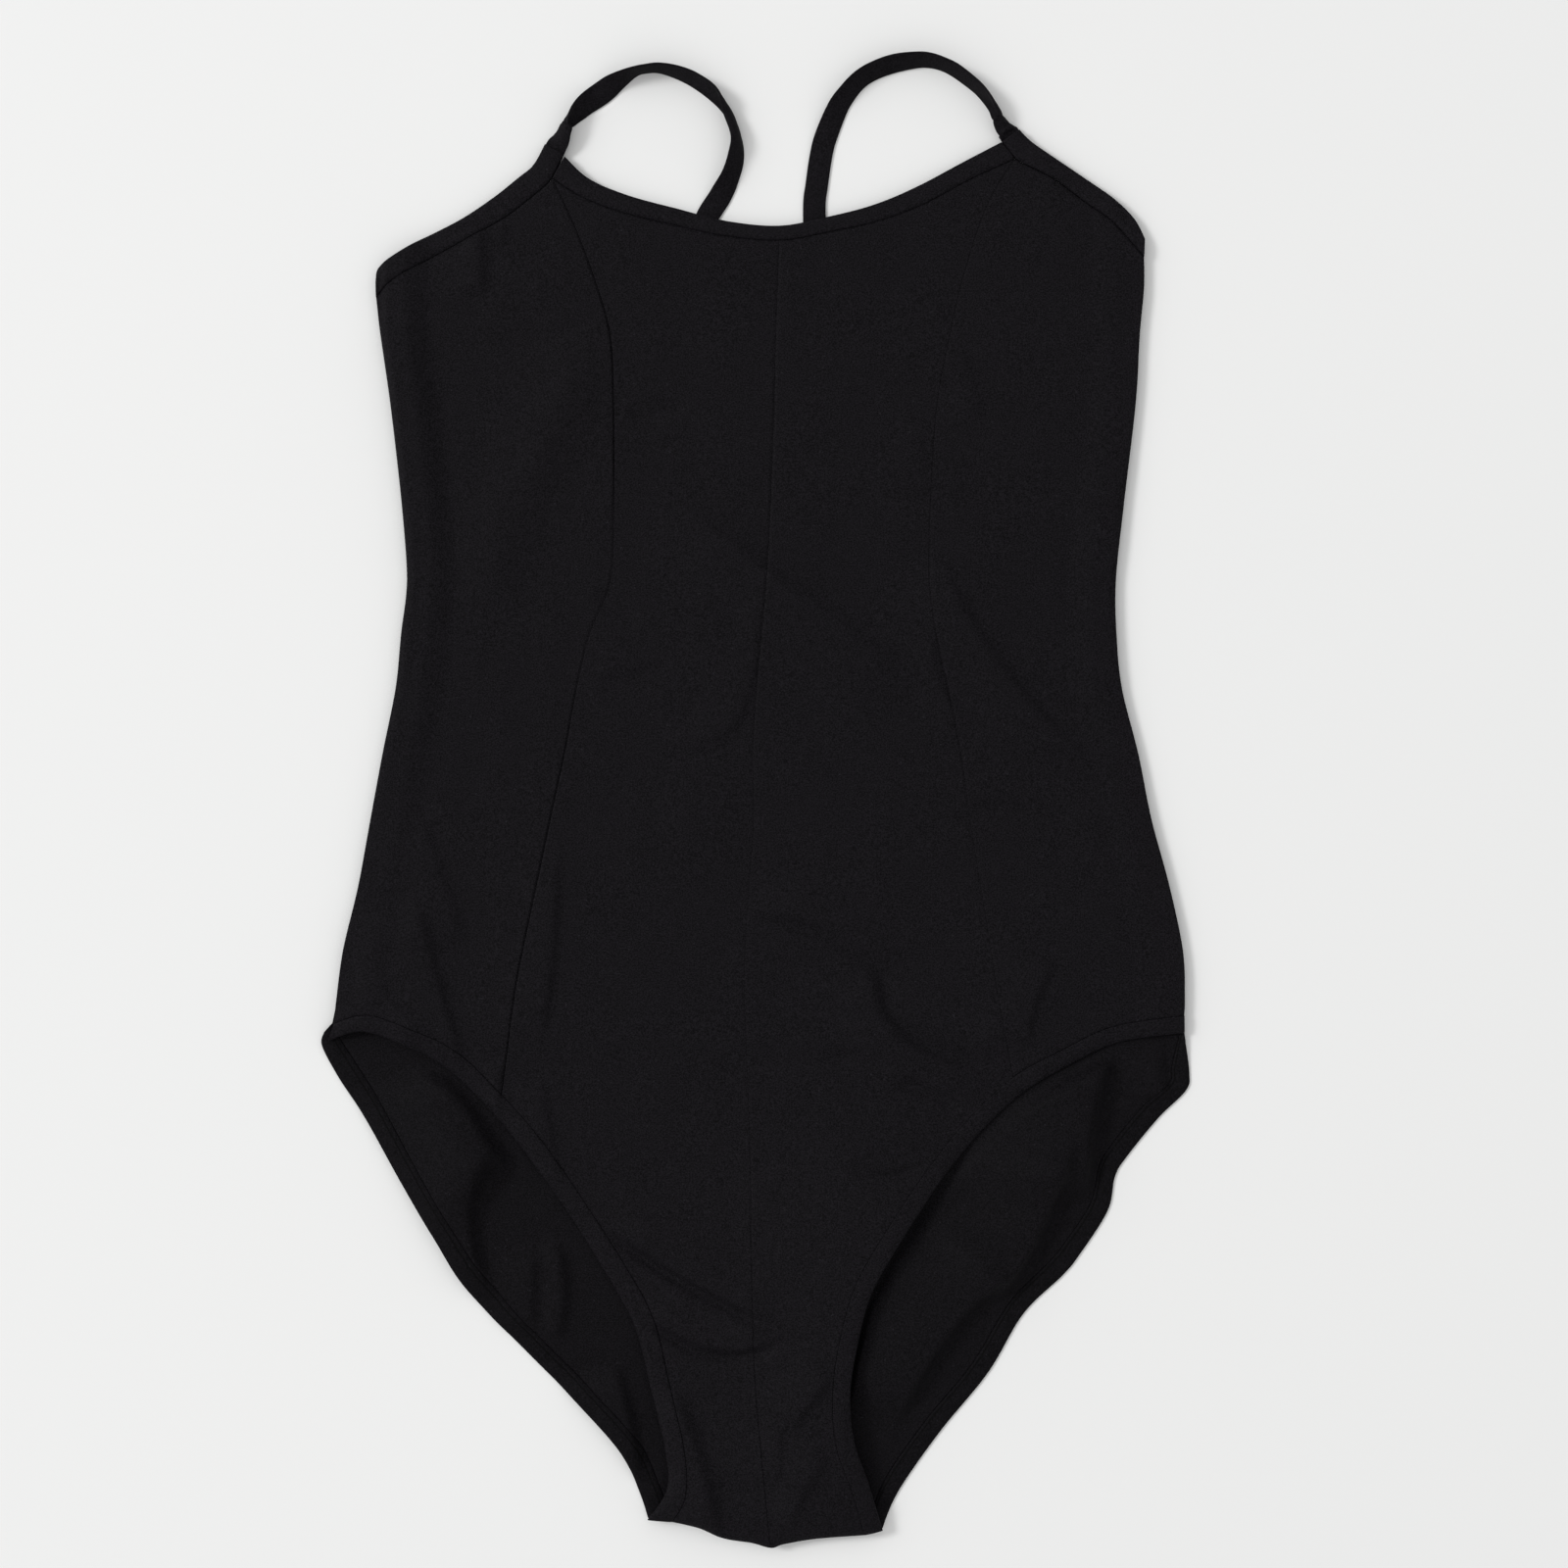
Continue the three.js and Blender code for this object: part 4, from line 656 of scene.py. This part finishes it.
centreDrop = ((15, 0.14), (55, 0.38))
princessLeftDrop = ((-110, 0.75), (20, 0.6), (70, 0.2), (125, 0.25), (150, 0.7), (215, 0.65), (270, 0.35))
princessRightDrop = ((-125, 0.03), (-105, 0.15))
panel("backPanelCloth", "back_panel",
      np.concatenate([backHemInnerLeft, backSideLeft[1:]]),
      np.concatenate([backHemInnerRight, backSideRight[1:]]),
      curvePoints(crotchRows, "x", "y", 0, len(crotchRows["x"]) - 1, backSteps), backNeck, backTop,
      drops=(0.2, 0.2, 0.3, 0.3), finish=shadedInsideJersey, restsOn=[])
panel("frontCentreLeftCloth", "front_centre_left",
      np.concatenate([hemInnerLeft, princessLeft[1:]]), centreSeam, crotchLeft, neckLeft, frontTop,
      drops=(0.08, centreDrop, 0.25, 0.5), finish=outsideJersey,
      restsOn=["backPanelCloth"])
panel("frontCentreRightCloth", "front_centre_right",
      centreSeam, np.concatenate([hemInnerRight, princessRight[1:]]), crotchRight, neckRight, frontTop,
      drops=(centreDrop, princessRightDrop, 0.10, 0.5), finish=outsideJersey,
      restsOn=["backPanelCloth"])
panel("frontSideLeftCloth", "front_side_left", sideLeft, princessLeft, hemSideLeft, armLeft, frontTop,
      drops=(1.0, princessLeftDrop, 0.2, 0.5), finish=outsideJersey,
      restsOn=["backPanelCloth"], skirt="left")
panel("frontSideRightCloth", "front_side_right", princessRight, sideRight, hemSideRight, armRight, frontTop,
      drops=(0.15, 1.0, 0.3, 0.5), finish=outsideJersey,
      restsOn=["backPanelCloth"], skirt="right")
print("panels made")


# Bindings and hems

trimLook = {
    "across": (0.0, 0.05, 0.14, 0.28, 0.45, 0.62, 0.78, 0.88, 0.95, 1.0),  # shares of the strip's width
    "front": 2.0, "back": 1.6,  # how thick a strip stands over the underside of its layer
}


# A strip between its free edge and its seam: crowned across, rounded down at both borders.
# Height = underside + thickness times an arch of the share of the width.
def strip(name, node, edge, seam, height, thickness, arch, finish):
    share = np.array(trimLook["across"])[:, None, None]
    grid = edge[None] * (1 - share) + seam[None] * share
    share = share * np.ones_like(grid[..., :1])
    width = np.linalg.norm(grid[0] - grid[-1], axis=1).mean()
    length = np.concatenate([[0], np.cumsum(np.linalg.norm(np.diff(grid[0], axis=0), axis=1))])
    uv = np.stack([share[..., 0] * width, np.broadcast_to(length, grid.shape[:2])], -1)
    if not facesUp(grid):
        grid, uv = grid[:, ::-1], uv[:, ::-1]
    x, y = grid[..., 0], grid[..., 1]
    under = height(x, y) - cloth["cadWall"]
    crown = arch(share[..., 0])
    piece = shell(name, grid, under + thickness * crown, under, uv, finish)
    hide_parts(node)
    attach(piece, "root")
    return piece


# Arches over the width. A bound edge is round at its free edge and dips to the seam: a foot plus the
# root of one less a power of the distance from a line a little nearer the free edge than the middle.
def boundArch(t):
    return 0.45 + 0.55 * np.sqrt(np.clip(1 - (np.abs(2 * t - 0.95) / 1.05) ** 3.2, 0, 1))


# A hem is level and rounded down at both borders: a foot plus one less the fifth power of the
# distance from the middle.
def hemArch(t):
    return 0.55 + 0.45 * np.clip(1 - np.abs(2 * t - 1) ** 5, 0, 1)


# The left front hem has the same arch on a foot that is higher where it runs into the panel.
def softArch(t):
    foot = np.where(t < 0.5, 0.55, 0.78)
    return foot + (1 - foot) * np.clip(1 - np.abs(2 * t - 1) ** 5, 0, 1)


# The right front hem bends down to its free edge by a root and runs level into the panel.
def flushArch(t):
    return 0.15 + 0.60 * np.sqrt(np.clip(t / 0.5, 0, 1))


# A stretch of a strip's free edge, from one row to another.
def edgeOf(rows, a, b, count):
    return curvePoints(rows, "edgeX", "edgeY", a, b, count)


# A border through several stretches of a table, each with its own number of steps.
def joined(border, rows, stops, counts):
    parts = [border(rows, a, b, count) for a, b, count in zip(stops[:-1], stops[1:], counts)]
    return np.concatenate([parts[0]] + [part[1:] for part in parts[1:]])


armLeftLast, armRightLast = len(underarmLeftRows["seamX"]) - 1, len(underarmRightRows["seamX"]) - 1
apexSteps = 12
strip("neckBindingCloth", "neck_binding", edgeOf(neckRows, 0, neckLast, 2 * centreSteps),
      np.concatenate([neckLeft, neckRight[1:]]), frontTop, trimLook["front"], boundArch, litBindingJersey)
strip("underarmBindingLeftCloth", "underarm_binding_left",
      joined(edgeOf, underarmLeftRows, (0, underarmLeftPanelRow, armLeftLast), (sideSteps, apexSteps)),
      joined(seamOf, underarmLeftRows, (0, underarmLeftPanelRow, armLeftLast), (sideSteps, apexSteps)),
      frontTop, trimLook["front"], boundArch, litBindingJersey)
strip("underarmBindingRightCloth", "underarm_binding_right",
      joined(edgeOf, underarmRightRows, (0, underarmRightPanelRow, armRightLast), (apexSteps, sideSteps)),
      joined(seamOf, underarmRightRows, (0, underarmRightPanelRow, armRightLast), (apexSteps, sideSteps)),
      frontTop, trimLook["front"], boundArch, litBindingJersey)
strip("backBindingCloth", "back_binding",
      edgeOf(backNeckRows, 0, len(backNeckRows["seamX"]) - 1, backSteps), backNeck, backTop,
      trimLook["back"], boundArch, litBindingJersey)
strip("legHemFrontLeftCloth", "leg_hem_front_left",
      np.concatenate([edgeOf(frontHemLeftRows, 0, hemPrincessRow, sideSteps),
                      edgeOf(frontHemLeftRows, hemPrincessRow, hemLeftLast, hemSteps)[1:]]),
      np.concatenate([hemSideLeft, hemInnerLeft[::-1][1:]]), frontTop, trimLook["front"], softArch,
      litBindingJersey)
strip("legHemFrontRightCloth", "leg_hem_front_right",
      np.concatenate([edgeOf(frontHemRightRows, hemRightLast, hemPrincessRow, hemSteps),
                      edgeOf(frontHemRightRows, hemPrincessRow, 0, sideSteps)[1:]]),
      np.concatenate([hemInnerRight, hemSideRight[1:]]), frontTop, trimLook["front"], flushArch,
      litBindingJersey)
strip("legHemBackLeftCloth", "leg_hem_back_left", edgeOf(backHemLeftRows, backLeftLast, 0, backHemSteps),
      backHemInnerLeft, backTop, trimLook["back"], hemArch, shadedBackHemJersey)
strip("legHemBackRightCloth", "leg_hem_back_right", edgeOf(backHemRightRows, backRightLast, 0, backHemSteps),
      backHemInnerRight, backTop, trimLook["back"], hemArch, shadedBackHemJersey)
print("bindings and hems made")


# Straps

strapLook = {
    "width": 10.4, "thickness": 1.4, "steps": 300, "round": 36,
    "square": 0.55, "flat": 0.6,  # powers that square off the section's width and thickness
    "groove": 0.16, "grooveAt": 0.62, "grooveWidth": 0.07,  # depth, place and width in shares
}
# Lean turns the ribbon about its own run, in degrees: at 0 it lies right side up, at -90 it stands on
# edge and at -180 it lies wrong side up. Cup is how far its face is bent on each side of its middle.
strapColumns = "x y lean cup width raise"
strapLeftRows = table(strapColumns, [
    (-92.2, 296.75, 0, 0, 9.6, 1.9), (-91.48, 298.07, -6, 0, 9.7, 1.9), (-89.81, 300.95, -19, -38, 10, 1.5),
    (-88.45, 304.16, -38, -67, 10.2, 0.8), (-87.1, 307.31, -53, -77, 10.4, 0.2),
    (-86.42, 308.41, -97, -75, 10.4, 0), (-82.97, 312.51, -123, -34, 10.4, 0),
    (-80.5, 314.76, -133, -3, 10.4, 0), (-77, 318.14, -147, 0, 10.4, 0), (-70.99, 322.83, -166, 0, 10.4, 0),
    (-63.05, 327.76, -127, 0, 10.4, 0), (-55.79, 331.68, -101, 0, 10.4, 0), (-51.16, 333, -96, 0, 10.4, 0),
    (-44.18, 333.46, -100, 0, 10.4, 0), (-35.6, 331.4, -110, 0, 10.4, 0),
    (-27.44, 327.85, -117, -8, 10.4, 0), (-18.78, 321.53, -116, -25, 10.4, 0),
    (-12.88, 312.66, -82, -95, 10.4, 0), (-8.68, 301.89, -64, -35, 10.4, 0),
    (-9.25, 292.83, -47, 0, 10.4, 0), (-12.06, 283.72, -39, 0, 10.4, 0), (-16.67, 275.27, -14, 0, 10.4, 0),
    (-23.2, 264.6, 0, 0, 10.4, 0), (-29, 246, 0, 0, 10.4, 0), (-31.3, 219.2, 0, 0, 10.4, 0),
])
strapRightRows = table(strapColumns, [
    (116.45, 303, 0, 0, 9.6, 1.9), (115.62, 304.25, -6, 0, 9.7, 1.9), (114.8, 305.5, -10, -63, 10, 1.4),
    (113.57, 306.94, -19, -77, 10.2, 0.7), (111.34, 310.38, -53, -79, 10.4, 0.2),
    (110.68, 311.85, -102, -75, 10.4, 0), (108.6, 315.91, -102, -48, 10.4, 0),
    (105.87, 319.71, -105, -20, 10.4, 0), (101.02, 324.86, -107, 0, 10.4, 0),
    (92, 331.94, -110, 0, 10.4, 0), (85.95, 335.13, -109, 0, 10.4, 0), (79.98, 336.95, -113, 0, 10.4, 0),
    (74.03, 337.32, -118, 0, 10.4, 0), (63.07, 335.73, -128, 0, 10.4, 0), (53.58, 332.29, -129, 0, 10.4, 0),
    (46.93, 328.01, -132, 0, 10.4, 0), (41.5, 321.95, -139, 0, 10.4, 0), (37.14, 315.32, -152, 0, 10.4, 0),
    (31.96, 302.87, -172, 0, 10.4, 0), (29.8, 294.4, -176, 0, 10.4, 0), (27.9, 281.5, -178, 0, 10.4, 0),
    (26.7, 270, -180, 0, 10.4, 0), (27.6, 244, -180, 0, 10.4, 0), (29.9, 219.3, -180, 0, 10.4, 0),
])


# A ribbon carried along its stations. Its section is a flat rounded oblong, width times a cosine and
# thickness times a sine, both squared off by a power; its face is bent to an arc by the cup and the
# whole is turned about the run by the lean, then set down so that its lowest point is at the raise.
def strap(name, node, rows, outward):
    place = np.linspace(0, len(rows["x"]) - 1, strapLook["steps"] + 1)
    x, y = atRow(rows["x"], place), atRow(rows["y"], place)
    turn = np.radians(atRow(rows["lean"], place))[:, None]
    bend = np.radians(atRow(rows["cup"], place))[:, None]
    bend = np.where(np.abs(bend) < 0.01, 0.01, bend)
    half = np.minimum(atRow(rows["width"], place), strapLook["width"])[:, None] / 2
    run = np.stack([np.gradient(x), np.gradient(y)], 1)
    run /= np.linalg.norm(run, axis=1, keepdims=True)
    out = np.stack([-run[:, 1], run[:, 0]], 1) * outward
    angle = np.linspace(0, 2 * math.pi, strapLook["round"], endpoint=False)
    wide = np.sign(np.cos(angle)) * np.abs(np.cos(angle)) ** strapLook["square"]
    level = np.sign(np.sin(angle)) * np.abs(np.sin(angle)) ** strapLook["flat"] * strapLook["thickness"] / 2
    grooveWay = (np.abs(wide) - strapLook["grooveAt"]) / strapLook["grooveWidth"]
    level = level * (1 - strapLook["groove"] * np.exp(-grooveWay ** 2))
    radius = half / bend
    along = (radius - level) * np.sin(bend * wide)
    through = radius - (radius - level) * np.cos(bend * wide) - radius * (1 - np.cos(bend)) / 2
    sideways = along * np.cos(turn) - through * np.sin(turn)
    z = along * np.sin(turn) + through * np.cos(turn)
    z += np.maximum(atRow(rows["raise"], place), 0)[:, None] - z.min(1, keepdims=True)
    points = np.stack([x[:, None] + out[:, :1] * sideways, y[:, None] + out[:, 1:] * sideways, z], -1)
    middle = points.mean(1)
    length = np.concatenate([[0], np.cumsum(np.linalg.norm(np.diff(middle, axis=0), axis=1))])
    uv = np.stack([half * wide, np.broadcast_to(length[:, None], z.shape)], -1)
    count, around = z.shape
    numbers = np.arange(count * around).reshape(count, around)
    loop = np.concatenate([numbers, numbers[:, :1]], 1)
    faces = quads(loop) if outward < 0 else quads(loop)[:, ::-1]
    caps = [numbers[0, ::-1], numbers[-1]] if outward > 0 else [numbers[0], numbers[-1, ::-1]]
    piece = makeMesh(name, points.reshape(-1, 3), faces.tolist() + [cap.tolist() for cap in caps],
                     uv.reshape(-1, 2), litBindingJersey)
    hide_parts(node)
    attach(piece, "root")
    return piece


strap("strapLeftCloth", "strap_left", strapLeftRows, 1)
strap("strapRightCloth", "strap_right", strapRightRows, -1)
print("straps made")


# Floor, light and camera

stage = {
    "floorSize": 8.0, "floorColour": (0.80, 0.805, 0.80, 1), "floorTint": (0.81, 0.81, 0.805, 1),
    "floorRoughness": 0.9, "floorSpecular": 0.1, "tintNoise": (3, 2),
    "skyStrength": 0.735,
    # from the upper left and low, so that folds are raked: place in metres, size in metres, watts
    "lights": (((-6.78, 2.08, 5.54), 2.4, 340), ((-6.75, 3.4, 4.9), 6.2, 110)),
    "frameCentre": (0.0128, 0.0061), "frameWidth": 0.72, "cameraHeight": 1.2, "sensor": 36,
}


# A plain pale square, faintly tinted by a broad noise.
def makeFloor():
    half = stage["floorSize"] / 2 / metres
    corners = np.array([(-half, -half, 0), (half, -half, 0), (half, half, 0), (-half, half, 0)], float)
    finish = Finish("paleFloor")
    place = finish.node("ShaderNodeTexCoord", {}, {}, 3)
    tint = finish.noise(place, *stage["tintNoise"])
    colour = finish.mixColour(tint, stage["floorColour"], stage["floorTint"])
    finish.put(finish.shader.inputs["Base Color"], colour)
    finish.put(finish.shader.inputs["Roughness"], stage["floorRoughness"])
    finish.put(finish.shader.inputs["Specular IOR Level"], stage["floorSpecular"])
    floor = makeMesh("floor", corners, np.array([[0, 1, 2, 3]]), corners[:, :2], finish.material, False)


# An even sky and round lamps, each turned so that it looks at the middle of the floor.
def makeLights():
    world = bpy.data.worlds.new("studio")
    world.use_nodes = True
    sky = world.node_tree.nodes["Background"]
    sky.inputs["Color"].default_value = (1, 1, 1, 1)
    sky.inputs["Strength"].default_value = stage["skyStrength"]
    bpy.context.scene.world = world
    for number, (place, size, power) in enumerate(stage["lights"]):
        lamp = bpy.data.lights.new("softbox%d" % number, "AREA")
        lamp.shape, lamp.size, lamp.energy = "DISK", size, power
        light = bpy.data.objects.new(lamp.name, lamp)
        light.location = place
        way = -np.array(place)
        tilt, heading = math.atan2(math.hypot(*way[:2]), -way[2]), math.atan2(way[1], way[0])
        light.rotation_euler = (tilt, 0, heading - math.pi / 2)
        bpy.context.scene.collection.objects.link(light)


# A camera straight above; its focal length is the sensor times the height over the framed width.
def makeCamera():
    lens = bpy.data.cameras.new("camera")
    lens.sensor_width = stage["sensor"]
    lens.lens = stage["sensor"] * stage["cameraHeight"] / stage["frameWidth"]
    camera = bpy.data.objects.new("camera", lens)
    camera.location = (*stage["frameCentre"], stage["cameraHeight"])
    bpy.context.scene.collection.objects.link(camera)
    bpy.context.scene.camera = camera


makeFloor()
makeLights()
makeCamera()
bpy.context.scene.view_settings.view_transform = "Standard"
print("stage made")
